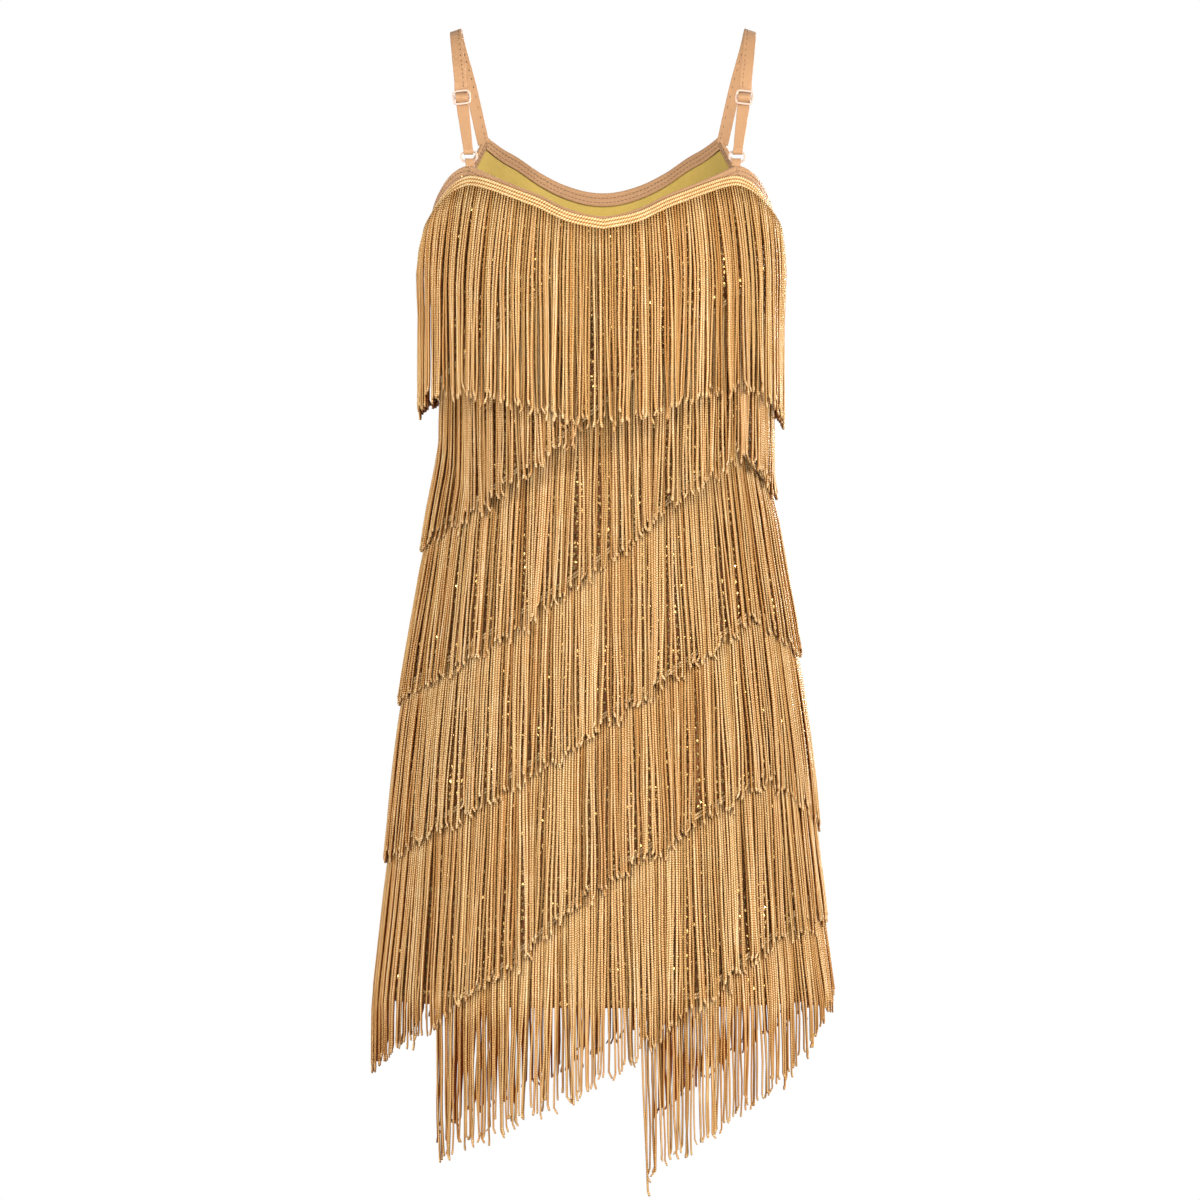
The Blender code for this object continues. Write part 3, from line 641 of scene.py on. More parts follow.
def sequin_material(colours):
    """Foil sequins: bright gold, a dark thread hole in the middle, and worn uneven gloss."""
    material, tree, shader = new_material("Gold sequins")
    radius, tone = attribute(tree, "along"), attribute(tree, "tone")
    colour = blend(tree, calc(tree, "POWER", tone, 3.0), rgba(colours.sequin, 0.35), rgba(colours.sequin))
    hole = calc(tree, "LESS_THAN", radius, 0.28)
    colour = blend(tree, hole, colour, rgba((0.10, 0.05, 0.015)))
    rough = calc(tree, "MULTIPLY_ADD", tone, -0.20, 0.50)
    feed(tree, shader, {"Base Color": colour, "Roughness": rough, "Metallic": 0.9})
    return material


def tape_material(name, colour, pitch, roughness, depth):
    """Woven tape or lining: crossing threads, uneven tone and a soft sheen."""
    material, tree, shader = new_material(name)
    weave = use_group(tree, plain_weave_group(), cloth_grain(tree), Pitch=pitch)
    cloudy = noise(tree, object_place(tree), 22.0, 3.0)
    share = calc(tree, "ADD", calc(tree, "MULTIPLY", weave.outputs["Tone"], 0.5),
                 calc(tree, "MULTIPLY", cloudy, 0.5))
    base = blend(tree, share, rgba(colour, 0.82), rgba(colour, 1.14))
    # Painted shade in the low places of the weave
    threads = calc(tree, "MULTIPLY_ADD", weave.outputs["Height"], 0.24, 0.76)
    shade = blend(tree, threads, rgba((0.62, 0.48, 0.36)), rgba((1.0, 1.0, 1.0)))
    rough = calc(tree, "MULTIPLY_ADD", cloudy, 0.12, roughness)
    feed(tree, shader, {"Base Color": multiplied(tree, base, shade), "Roughness": rough,
                        "Sheen Weight": 0.12})
    bump(tree, shader, weave.outputs["Height"], depth)
    return material


def thread_material(colours):
    """Sewing thread, a little darker than the tape."""
    material, tree, shader = new_material("Sewing thread")
    twist = noise(tree, object_place(tree), 900.0, 1.0)
    colour = blend(tree, twist, rgba(colours.tape, 0.20), rgba(colours.tape, 0.42))
    feed(tree, shader, {"Base Color": colour, "Roughness": 0.55})
    return material


def fitting_material(colours):
    """Coated strap fittings: a soft gloss, slightly worn."""
    material, tree, shader = new_material("Coated strap fitting")
    wear = noise(tree, object_place(tree), 120.0, 2.0)
    colour = blend(tree, wear, rgba(colours.fitting, 0.9), rgba(colours.fitting, 1.1))
    rough = calc(tree, "MULTIPLY_ADD", wear, 0.12, 0.38)
    feed(tree, shader, {"Base Color": colour, "Roughness": rough, "Specular IOR Level": 0.25})
    return material


def shared(name, make, *given):
    """A material made once and then found by name."""
    return bpy.data.materials.get(name) or make(*given)


def tape_finish(colours):
    """The tan tape of bindings and straps."""
    return shared("Tan tape", tape_material, "Tan tape", colours.tape, 0.0011, 0.55, 0.00018)


def lining_finish(colours):
    """The mustard lining."""
    return shared("Mustard lining", tape_material, "Mustard lining", colours.lining, 0.0006, 0.50, 0.00008)


# Cloth

def troughs(turn, height):
    """Depth of the shell's soft troughs: rounded hollows, each long in height and narrow in turn."""
    rows = (
        # Turn, height, half length, half width in degrees, depth
        (222, -0.36, 0.06, 7, 0.0012), (251, -0.38, 0.09, 6, 0.0010), (292, -0.35, 0.07, 8, 0.0013),
        (322, -0.40, 0.08, 6, 0.0011), (238, -0.70, 0.16, 8, 0.0016), (268, -0.72, 0.13, 6, 0.0012),
        (301, -0.68, 0.17, 9, 0.0016), (333, -0.74, 0.10, 6, 0.0013), (38, -0.37, 0.07, 8, 0.0012),
        (72, -0.39, 0.09, 6, 0.0013), (117, -0.36, 0.07, 8, 0.0011), (148, -0.40, 0.08, 7, 0.0012),
        (28, -0.70, 0.14, 7, 0.0014), (63, -0.72, 0.16, 9, 0.0016), (104, -0.69, 0.13, 7, 0.0013),
        (141, -0.73, 0.12, 8, 0.0015), (60, -0.19, 0.05, 7, 0.0010), (121, -0.20, 0.06, 6, 0.0010),
    )
    depth = np.zeros(np.broadcast(turn, height).shape)
    for place, middle, length, width, deep in rows:
        depth += deep * np.exp(-((turn - place) / width) ** 2 - ((height - middle) / length) ** 2)
    return depth


def wall_piece(name, turns, heights, outer, wall, materials, inner_material=0):
    """A thin closed wall: outer and inner grids of points, joined round their four edges."""
    outer_points = cloth(turns, heights, outer)[0]
    inner_points = cloth(turns, heights, outer - wall)[0]
    rows, columns = turns.shape
    quads, row, column = grid_faces(1, rows, columns)
    shift = rows * columns
    grid = np.arange(shift).reshape(rows, columns)
    rim = np.concatenate([grid[0, :-1], grid[:-1, -1], grid[-1, :0:-1], grid[:0:-1, 0]])
    after = np.roll(rim, -1)
    edge = np.stack([rim, rim + shift, after + shift, after], axis=-1)
    faces = [quads, quads[:, ::-1] + shift, edge]
    flat = np.stack([np.radians(turns) * MEAN_RADIUS, heights], axis=-1).reshape(-1, 2)
    uv = np.vstack([flat[part.ravel() % shift] for part in faces])
    chosen = np.repeat([0, inner_material, 0], [len(quads), len(quads), len(edge)])
    points = np.vstack([outer_points.reshape(-1, 3), inner_points.reshape(-1, 3)])
    return new_piece(name, points, faces, materials, uv=uv, chosen=chosen, recalc=True)


def shell_grid(first, last, columns, rows, foot, top_drop):
    """Turns and heights of a grid from a level foot up to just under the cloth's edge."""
    corner = FRONT_APEX if first >= 180.0 else BACK_CORNER
    marks = np.array([first, first + corner, last - corner, last])
    counts = (columns * np.diff(marks) / (last - first)).astype(int) + 1
    spans = [np.linspace(start, end, count, endpoint=False)
             for start, end, count in zip(marks[:-1], marks[1:], counts)]
    turn = np.concatenate(spans + [[last]])
    share = np.linspace(0.0, 1.0, rows)[:, None]
    top = edge_height(np.clip(turn, first + 0.01, last - 0.01))[None] - top_drop
    return np.broadcast_to(turn[None], (rows, len(turn))), foot + (top - foot) * share


# Rows of sequins overlap to this share of their pitch, and each sequin tips by about this slope
SEQUIN_ROW = 0.9
SEQUIN_TIP = 0.22
SEQUIN_RISE = 0.0005


def sequins(name, first, last, sizes, seed, material):
    """Rows of sequins: each is a low six-sided dome, sewn flat but tipped a little at random."""
    random = np.random.default_rng(seed)
    row_pitch = sizes.sequin_pitch * SEQUIN_ROW
    rows = int((edge_height(np.array([first + BACK_CORNER]))[0] - HEM) / row_pitch)
    columns = int(0.50 / sizes.sequin_pitch)
    guide = np.linspace(first, last, 721)
    along = lengths_along(cloth(guide, np.full(721, -0.5))[0])
    height, place = np.meshgrid(np.arange(rows), np.arange(columns), indexing="ij")
    share = (place + 0.5 + 0.5 * (height % 2 - 0.5)) / columns
    share = share + random.normal(0, 0.08, share.shape) / columns
    turn = np.interp(np.clip(share, 0.004, 0.996) * along[-1], along, guide)
    level = HEM + 0.004 + height * row_pitch + random.normal(0, 0.0003, share.shape)
    keep = level < edge_height(turn) - 0.004
    turn, level = turn[keep], level[keep]
    centre, outward = cloth(turn, level, SEQUIN_RISE - troughs(turn, level))
    count = len(turn)
    tip = outward + random.normal(0, SEQUIN_TIP, (count, 1)) * level_tangent(outward)
    tip[:, 2] += random.normal(0.10, SEQUIN_TIP, count)
    tip = unit(tip)
    side = unit(np.cross(tip, np.array([0.0, 0.0, 1.0])))
    rise = np.cross(side, tip)
    angles = (np.arange(6) * math.pi / 3)[None, :, None]
    rim = side[:, None] * np.cos(angles) + rise[:, None] * np.sin(angles)
    rim = centre[:, None] + rim * sizes.sequin / 2
    points = np.concatenate([rim, (centre + tip * SEQUIN_RISE)[:, None]], axis=1)
    base = np.arange(count)[:, None] * 7
    corner = np.arange(6)
    fans = np.stack([np.full(6, 6), corner, (corner + 1) % 6], axis=-1)
    faces = [(base[:, :, None] + fans[None]).reshape(-1, 3), base + corner[None, ::-1]]
    radius = np.tile(np.array([1.0] * 6 + [0.0]), count)
    tone = np.repeat(random.random(count), 7)
    piece = new_piece(name, points, faces, [material], marks={"along": radius, "tone": tone})
    piece.data.shade_flat()
    return piece


class DRESS_OT_cloth(bpy.types.Operator):
    """Front and back of sequined stretch cloth, and the lining of the upper back"""
    bl_idname = "dress.cloth"
    bl_label = "Sequined cloth and lining"

    def execute(self, context):
        sizes, colours = context.scene.dress_sizes, context.scene.dress_colours
        outside = shared("Gold stretch cloth", cloth_material, colours)
        lining = lining_finish(colours)
        foil = shared("Gold sequins", sequin_material, colours)
        for word, first, last, seed in (("front", 180.0, 360.0, 11), ("back", 0.0, 180.0, 12)):
            turns, heights = shell_grid(first, last, 90, 84, HEM, 0.0)
            turns = np.clip(turns, first + 0.05, last - 0.05)
            shell = wall_piece(word + "_cloth", turns, heights, -troughs(turns, heights), CLOTH_THICKNESS,
                               [outside, lining], inner_material=1)
            settle(shell, "sequin_cloth", word + "_panel")
            foils = settle(sequins(word + "_sequins", first, last, sizes, seed, foil), "sequin_cloth")
        turns, heights = shell_grid(2.0, 178.0, 70, 30, LINING_FOOT, 0.003)
        puckers = 0.0004 * np.sin(turns * 0.9 + 9 * heights) * np.exp(-((heights + 0.22) / 0.05) ** 2)
        piece = wall_piece("upper_back_lining", turns, heights, -0.0015 - np.abs(puckers), LINING_THICKNESS,
                           [lining])
        settle(piece, "lining", "back_lining")
        return {"FINISHED"}


# Bindings and stitches

# Radius of a sewing stitch and how deep its ends are sunk, in metres, and shares of a stitch's
# length from its middle to where it is thickest and to its ends
STITCH_RADIUS = 0.00032
STITCH_SUNK = 0.00022
STITCH_BODY = 0.22
STITCH_END = 0.42
# Distance between the sections of a binding along its edge
BINDING_STEP = 0.0025


def stitches(name, places, along, outward, length, material):
    """Sewing stitches: each a small long lozenge on a surface, its ends sunk in the cloth."""
    count = len(places)
    along = unit(along)
    across = np.cross(along, outward)
    angles = (np.arange(4) * math.pi / 2 + math.pi / 4)[None, :, None]
    ring = across[:, None] * np.cos(angles) + outward[:, None] * np.sin(angles)
    middle = places[:, None] + ring * STITCH_RADIUS
    back = middle - along[:, None] * length * STITCH_BODY
    front = middle + along[:, None] * length * STITCH_BODY
    ends = np.stack([places - along * length * STITCH_END, places + along * length * STITCH_END], axis=1)
    ends = ends - outward[:, None] * STITCH_SUNK
    points = np.concatenate([back, front, ends], axis=1)
    corner = np.arange(4)
    after = (corner + 1) % 4
    body = np.stack([corner, after, after + 4, corner + 4], axis=-1)
    caps = np.vstack([np.stack([np.full(4, 8), after, corner], axis=-1),
                      np.stack([np.full(4, 9), corner + 4, after + 4], axis=-1)])
    base = np.arange(count)[:, None, None] * 10
    faces = [(base + body[None]).reshape(-1, 4), (base + caps[None]).reshape(-1, 3)]
    return new_piece(name, points, faces, [material], recalc=True)


# Section of a binding folded over the edge: out from the cloth, up from the edge
BINDING_SECTION = np.array((
    (0.0011, -0.0101), (0.0014, -0.0096), (0.0014, -0.0075), (0.0012, -0.0068), (0.0015, -0.0050),
    (0.0012, -0.0031), (0.0014, -0.0022), (0.0013, -0.0004), (0.0009, 0.0008), (0.0002, 0.0013),
    (-0.0017, 0.0013), (-0.0028, 0.0008), (-0.0035, -0.0004), (-0.0037, -0.0022), (-0.0035, -0.0031),
    (-0.0038, -0.0050), (-0.0035, -0.0068), (-0.0037, -0.0075), (-0.0037, -0.0096), (-0.0034, -0.0101),
    (-0.0025, -0.0101), (-0.0023, -0.0004), (0.0003, -0.0004), (0.0003, -0.0101),
))
# Rows of stitches on a binding: out from the cloth, up from the edge
STITCH_LINES = ((0.0013, -0.0031), (0.0013, -0.0068), (-0.0036, -0.0031), (-0.0036, -0.0068))


def at_edge(turns, out, rise):
    """Points out from the cloth and up or down from its edge, with their outward directions."""
    edge = edge_height(turns)
    points, outward = cloth(turns, edge + np.minimum(rise, 0.0), out)
    points[..., 2] += np.maximum(rise, 0.0)
    return points, outward


def binding(name, node, first, last, sizes, colours):
    """A folded tape along the edge between two turns, with two rows of stitches on each side."""
    guide = np.linspace(first, last, 400)
    along = lengths_along(at_edge(guide, 0.0, 0.0)[0])
    steps = max(24, int(along[-1] / BINDING_STEP))
    turns = np.interp(np.linspace(0, along[-1], steps), along, guide)
    rings = at_edge(turns[:, None], BINDING_SECTION[None, :, 0], BINDING_SECTION[None, :, 1])[0]
    piece = swept(name, rings, [tape_finish(colours)])
    settle(piece, "binding", node)
    places, tangents, outwards = [], [], []
    count = int(along[-1] / sizes.sewing)
    middles = np.interp((np.arange(count) + 0.5) * along[-1] / count, along, guide)
    for out, rise in STITCH_LINES:
        points, outward = at_edge(middles, out, rise)
        places.append(points)
        tangents.append(np.gradient(points, axis=0))
        outwards.append(outward * np.sign(out))
    thread = shared("Sewing thread", thread_material, colours)
    sewn = stitches(name + "_stitches", np.vstack(places), np.vstack(tangents), np.vstack(outwards),
                    sizes.sewing, thread)
    settle(sewn, "binding")


class DRESS_OT_bindings(bpy.types.Operator):
    """Tan tape folded over the neckline and the armholes"""
    bl_idname = "dress.bindings"
    bl_label = "Bindings"

    def execute(self, context):
        sizes, colours = context.scene.dress_sizes, context.scene.dress_colours
        rows = (
            ("front_neck_tape", "neck_binding_front", 180.0 + FRONT_APEX, 360.0 - FRONT_APEX),
            ("back_neck_tape", "neck_binding_back", BACK_CORNER, 180.0 - BACK_CORNER),
            ("right_armhole_tape", "armhole_binding_right", -FRONT_APEX, BACK_CORNER),
            ("left_armhole_tape", "armhole_binding_left", 180.0 - BACK_CORNER, 180.0 + FRONT_APEX),
        )
        for name, node, first, last in rows:
            binding(name, node, first + 0.05, last - 0.05, sizes, colours)
        return {"FINISHED"}


# Straps

def smooth_route(route, steps):
    """Points on a curve through a route: between two points, a cubic set by their neighbours."""
    route = np.array(route, dtype=float)
    padded = np.vstack([2 * route[0] - route[1], route, 2 * route[-1] - route[-2]])
    before, here, there, after = padded[:-3, None], padded[1:-2, None], padded[2:-1, None], padded[3:, None]
    share = (np.arange(steps) / steps)[None, :, None]
    points = 0.5 * (
        2 * here + (there - before) * share + (2 * before - 5 * here + 4 * there - after) * share ** 2
        + (3 * here - before - 3 * there + after) * share ** 3
    )
    return np.vstack([points.reshape(-1, 3), route[-1:]])


def strap_frame():
    """Slider's centre, apex, and the strap's down, across and out directions on the right side."""
    slider = np.array(SLIDER_CENTRE)
    turn = np.array([360.0 - FRONT_APEX])
    apex = cloth(turn, edge_height(turn), -0.00075)[0][0]
    down = (apex - slider) / np.linalg.norm(apex - slider)
    across = np.array([1.0, 0.0, 0.0]) - down * down[0]
    across /= np.linalg.norm(across)
    out = np.cross(across, down)
    return slider, apex, down, across, out * (1 if out[1] < 0 else -1)


# Section of a strap or tab: shares of half its width, shares of its thickness
TAPE_SECTION = np.array((
    (-1.0, -0.25), (-0.96, -0.48), (-0.80, -0.50), (-0.40, -0.44), (0.0, -0.46), (0.40, -0.44),
    (0.80, -0.50), (0.96, -0.48), (1.0, -0.25), (1.0, 0.25), (0.96, 0.48), (0.80, 0.50),
    (0.40, 0.44), (0.0, 0.46), (-0.40, 0.44), (-0.80, 0.50), (-0.96, 0.48), (-1.0, 0.25),
))


def ribbon(name, points, widths, side, material):
    """A flat tape along a path: a rectangle with rounded, slightly thicker edges in each place."""
    tangents = unit(np.gradient(points, axis=0))
    # The tape lies level across, and slopes down outwards where it nears the shoulder
    slope = 0.34 * np.exp(points[:, 2:3] / 0.022)
    level = np.array([[1.0, 0.0, 0.0]]) - np.array([[0.0, 0.0, 1.0]]) * slope
    across = unit(level - tangents * np.sum(level * tangents, axis=1, keepdims=True))
    normal = np.cross(tangents, across)
    sideways, through = TAPE_SECTION[None, :, 0:1], TAPE_SECTION[None, :, 1:2]
    rings = points[:, None] + across[:, None] * (sideways * widths[:, None, None] / 2)
    rings = rings + normal[:, None] * (through * TAPE_THICKNESS)
    rings[..., 0] *= side
    return swept(name, rings, [material]), tangents, normal, across


def in_strap(origin, down, out, rows):
    """Points from rows of a distance along the strap and a distance out from its plane."""
    rows = np.array(rows)
    return origin + down * rows[:, 0:1] + out * rows[:, 1:2]


def build_strap(word, side, sizes, colours):
    """One tape over the shoulder, through the slider, round the ring and back to the slider."""
    slider, apex, down, _, out = strap_frame()
    upper_bar = apex - down * (RING_ABOVE_APEX + RING_HALF[1])
    parts = [np.array(STRAP_ROUTE), in_strap(slider, down, out, SLIDER_THREAD),
             in_strap(upper_bar, down, out, RING_TURN), in_strap(slider, down, out, SLIDER_END)]
    wide = np.repeat([sizes.tape, sizes.tape, TAPE_AT_RING, sizes.tape], [len(part) for part in parts])
    points = smooth_route(np.vstack(parts), 5)
    widths = np.interp(np.linspace(0, 1, len(points)), np.linspace(0, 1, len(wide)), wide)
    tape = tape_finish(colours)
    strap, tangents, normal, across = ribbon("shoulder_strap_" + word, points, widths, side, tape)
    settle(strap, "binding", "strap_" + word)
    # One row of stitches on each face, from the back corner to the slider
    shoulder = lengths_along(points[:len(STRAP_ROUTE) * 5])
    count = int(shoulder[-1] / sizes.sewing)
    places = (np.arange(count) + 0.5) * shoulder[-1] / count
    index = np.searchsorted(shoulder, places)
    mirror = np.array([side, 1.0, 1.0])
    thread = shared("Sewing thread", thread_material, colours)
    rows = []
    for face in (-1.0, 1.0):
        lift = points[index] - across[index] * sizes.tape * 0.24 + normal[index] * face * 0.00047
        rows.append((lift * mirror, tangents[index] * mirror, normal[index] * face * mirror))
    places, along, outward = (np.vstack(column) for column in zip(*rows))
    sewn = stitches("strap_stitches_" + word, places, along, outward, sizes.sewing, thread)
    settle(sewn, "binding")
    # The tab turns round the ring's lower side, and both its ends are sewn to the cloth
    lower_bar = apex - down * (RING_ABOVE_APEX - RING_HALF[1])
    loop = smooth_route(in_strap(lower_bar, down, out, TAB_TURN), 5)
    tab = ribbon("ring_tab_" + word, loop, np.full(len(loop), TAB_WIDTH), side, tape)[0]
    settle(tab, "binding", "front_tab_" + word)


def round_wire(path, radius, sideways, out):
    """Circles of points round a path, in the plane of two directions."""
    swing = (np.arange(WIRE_SIDES) * 2 * math.pi / WIRE_SIDES)[None, :, None]
    return path[:, None] + radius * (sideways * np.cos(swing) + out * np.sin(swing))


def wire_loop(centre, across, rise, out, half, squareness):
    """Rings round a closed wire bent to a rounded rectangle |x/a|^n + |y/b|^n = 1."""
    angle = np.arange(WIRE_STEPS) * 2 * math.pi / WIRE_STEPS
    x = half[0] * signed_power(np.cos(angle), 2 / squareness)
    y = half[1] * signed_power(np.sin(angle), 2 / squareness)
    path = centre + across * x[:, None] + rise * y[:, None]
    tangent = unit(np.roll(path, -1, axis=0) - np.roll(path, 1, axis=0))
    return round_wire(path, WIRE, np.cross(tangent, out)[:, None], out)


def build_fittings(word, side, colours):
    """A rounded ring, and a slider with its middle bar."""
    slider, apex, down, across, out = strap_frame()
    mirror = np.array([side, 1.0, 1.0])
    gloss = shared("Coated strap fitting", fitting_material, colours)
    ring = wire_loop(apex - down * RING_ABOVE_APEX, across, down, out, RING_HALF, RING_SQUARENESS)
    piece = swept("strap_ring_" + word, ring * mirror, [gloss], around=True)
    settle(piece, "strap_hardware", "ring_" + word)
    outline = wire_loop(slider, across, down, out, SLIDER_HALF, SLIDER_SQUARENESS)
    piece = swept("strap_slider_" + word, outline * mirror, [gloss], around=True)
    settle(piece, "strap_hardware", "slider_" + word)
    bar = slider + across * np.linspace(-1, 1, 15)[:, None] * SLIDER_HALF[0]
    piece = swept("slider_bar_" + word, round_wire(bar, WIRE * 0.9, down, out) * mirror, [gloss])
    settle(piece, "strap_hardware")


class DRESS_OT_straps(bpy.types.Operator):
    """Adjustable shoulder straps with their tabs, rings and sliders"""
    bl_idname = "dress.straps"
    bl_label = "Straps and fittings"

    def execute(self, context):
        sizes, colours = context.scene.dress_sizes, context.scene.dress_colours
        for word, side in (("left", -1.0), ("right", 1.0)):
            build_strap(word, side, sizes, colours)
            build_fittings(word, side, colours)
        return {"FINISHED"}


# Fringe

def header_piece(name, turns, top, tall, near, around, lines, flared, material):
    """A flat braid, whose face stands out by |sin(pi * lines * share)|^0.6 down its height.

    That makes one rounded row a line. Its uv runs aslant, so that each row's loops lean.
    """
    points = cloth(turns, top)[0]
    along = lengths_along(points)
    share = np.linspace(0.0, 1.0, 6 * lines + 1)
    ridge = np.abs(np.sin(math.pi * share * lines)) ** 0.6
    lift = near + BRAID_THICKNESS + BRAID_RIDGE * ridge[None]
    if flared:
        lift = lift + flare(turns, 0.0)[:, None] * share[None]
    drop = share[None] * tall
    outer = cloth(turns[:, None], top[:, None] - drop, lift)[0]
    inner = cloth(turns[:, None], top[:, None] - np.array([[1.0, 0.5, 0.0]]) * tall, near)[0]
    rings = np.concatenate([outer, inner], axis=1)
    count, sides = rings.shape[:2]
    quads, path, column = grid_faces(1, count, sides, wrap_columns=True, wrap_rows=around)
    along = np.append(along, along[-1] + (along[1] - along[0]))
    girth = np.concatenate([share * 2.0, [2.1, 2.4, 2.7, 3.0]])
    lean = girth * tall * 0.35
    uv = [np.stack([girth[column], along[path] + lean[column]], axis=-1).reshape(-1, 2)]
    faces = [quads]
    if not around:
        faces += [np.arange(sides)[None, ::-1], np.arange(sides)[None] + (count - 1) * sides]
        uv += [np.zeros((2 * sides, 2))]
    # The rows' ridges also paint the braid: a lighter tone and a painted highlight on each row, painted
    # shade in the grooves between rows
    tone = np.broadcast_to(np.concatenate([ridge, np.zeros(3)]), (count, sides))
    marks = {"tone": 0.15 + 0.40 * tone, "along": np.full(count * sides, 0.5), "open": 0.26 + 0.69 * tone}
    return new_piece(name, rings, faces, [material], uv=np.vstack(uv), marks=marks, recalc=True)


# Shares of a strand's length at which it has a ring of points, and its width there
STRAND_STOPS = np.array((0.0, 0.10, 0.22, 0.35, 0.48, 0.61, 0.74, 0.86, 0.966, 0.984, 1.0))
STRAND_SWELL = np.array((0.8, 1.0, 1.0, 1.0, 1.0, 1.0, 1.0, 1.0, 0.92, 1.18, 0.85))
STRAND_SIDES = 6
# Share of the way that a lock's strands are drawn to its middle at most, and how far it stands out
LOCK_PULL = 0.34
LOCK_LIFT = 0.0010
# Share of the strands that lie behind, how far each layer is from the middle, and its unevenness
BEHIND = 0.30
LAYER = 0.0008
LAYER_SPREAD = 0.0003
# How far a strand waves aside and out, and how far its end below the knot turns aside
WAVE_ASIDE = 0.0006
WAVE_OUT = 0.0004
HOOK = 0.0014


def waving(turns, random, lengths, size):
    """A smooth uneven field along a header: a sum of sine waves of given lengths in degrees."""
    waves = [np.sin(2 * math.pi * (turns / length + random.random())) for length in lengths]
    return size * np.sum(waves, axis=0) / math.sqrt(len(waves))


def flare(turns, share):
    """How far the neck fringe stands out more at its sides, at a share of the strands' length."""
    near_side = np.exp(-(side_angle(turns) / FLARE_ANGLE) ** 4)
    roots = FLARE_ROOTS * np.clip(1.0 - share * 2.2, 0.0, 1.0)
    on_left = np.where(np.cos(np.radians(turns)) < 0, FLARE_LEFT_ENDS, 0.0)
    return near_side * (roots + on_left * np.minimum(share * 7, 1.0))


def strand_centres(turns, top, tip, profile, flared, sizes, random):
    """Centre lines of strands: plumb, pushed out by cloth that widens, gathered in leaning locks."""
    start, outward = cloth(turns, top)
    length = (top - tip)[:, None]
    drop = STRAND_STOPS[None] * length
    steps = np.interp(STRAND_STOPS, *np.array(profile).T)[None] + reach(start, outward, top[:, None] - drop)
    out = np.maximum.accumulate(steps, axis=1)
    if flared:
        out = out + flare(turns[:, None], STRAND_STOPS[None])
    count = len(turns)
    share = STRAND_STOPS[None]
    # Locks of 3 to 9 strands, each drawn a little to its own middle and leaning as a whole
    bounds = np.cumsum(random.integers(3, 10, count))
    lock = np.searchsorted(bounds, np.arange(count), side="right")
    locks = lock.max() + 1
    members = np.maximum(np.bincount(lock, minlength=locks), 1)
    middle = (np.bincount(lock, np.arange(count), locks) / members)[lock]
    pull = random.beta(1.0, 3.0, locks)[lock] * LOCK_PULL
    lean = waving(turns, random, (9, 17, 31, 63), sizes.sway * 0.60)
    lean = lean + random.normal(0, sizes.sway * 0.20, locks)[lock]
    lean = lean + random.normal(0, sizes.sway * 0.20, count)
    lift = random.uniform(0.0, LOCK_LIFT, locks)[lock]
    behind = random.random(count) < BEHIND
    layer = np.where(behind, -LAYER, LAYER) + random.uniform(-LAYER_SPREAD, LAYER_SPREAD, count)
    # Each strand also waves slightly sideways and outwards
    phase = random.uniform(0, 2 * math.pi, (2, count))
    wave_aside = np.sin(share * random.uniform(4, 12, count)[:, None] + phase[0][:, None])
    wave_out = np.sin(share * random.uniform(4, 10, count)[:, None] + phase[1][:, None])
    drawn = (middle - np.arange(count)) * sizes.strand_pitch * pull
    aside = drawn[:, None] * np.sin(share * 1.5) + lean[:, None] * share ** 1.2
    aside = aside + WAVE_ASIDE * wave_aside * share ** 0.5
    out = out + (layer[:, None] + lift[:, None] * share) * np.minimum(share * 5, 1.0)
    out = out + WAVE_OUT * wave_out * share
    knot = STRAND_STOPS[-3]
    below_knot = np.clip((share - knot) / (1.0 - knot), 0, 1)
    aside = aside + random.normal(0, HOOK, count)[:, None] * below_knot
    tangent = level_tangent(outward)
    points = start[:, None] + outward[:, None] * out[..., None] + tangent[:, None] * aside[..., None]
    points[..., 2] = top[:, None] - drop
    return points, tangent, outward, drop, behind


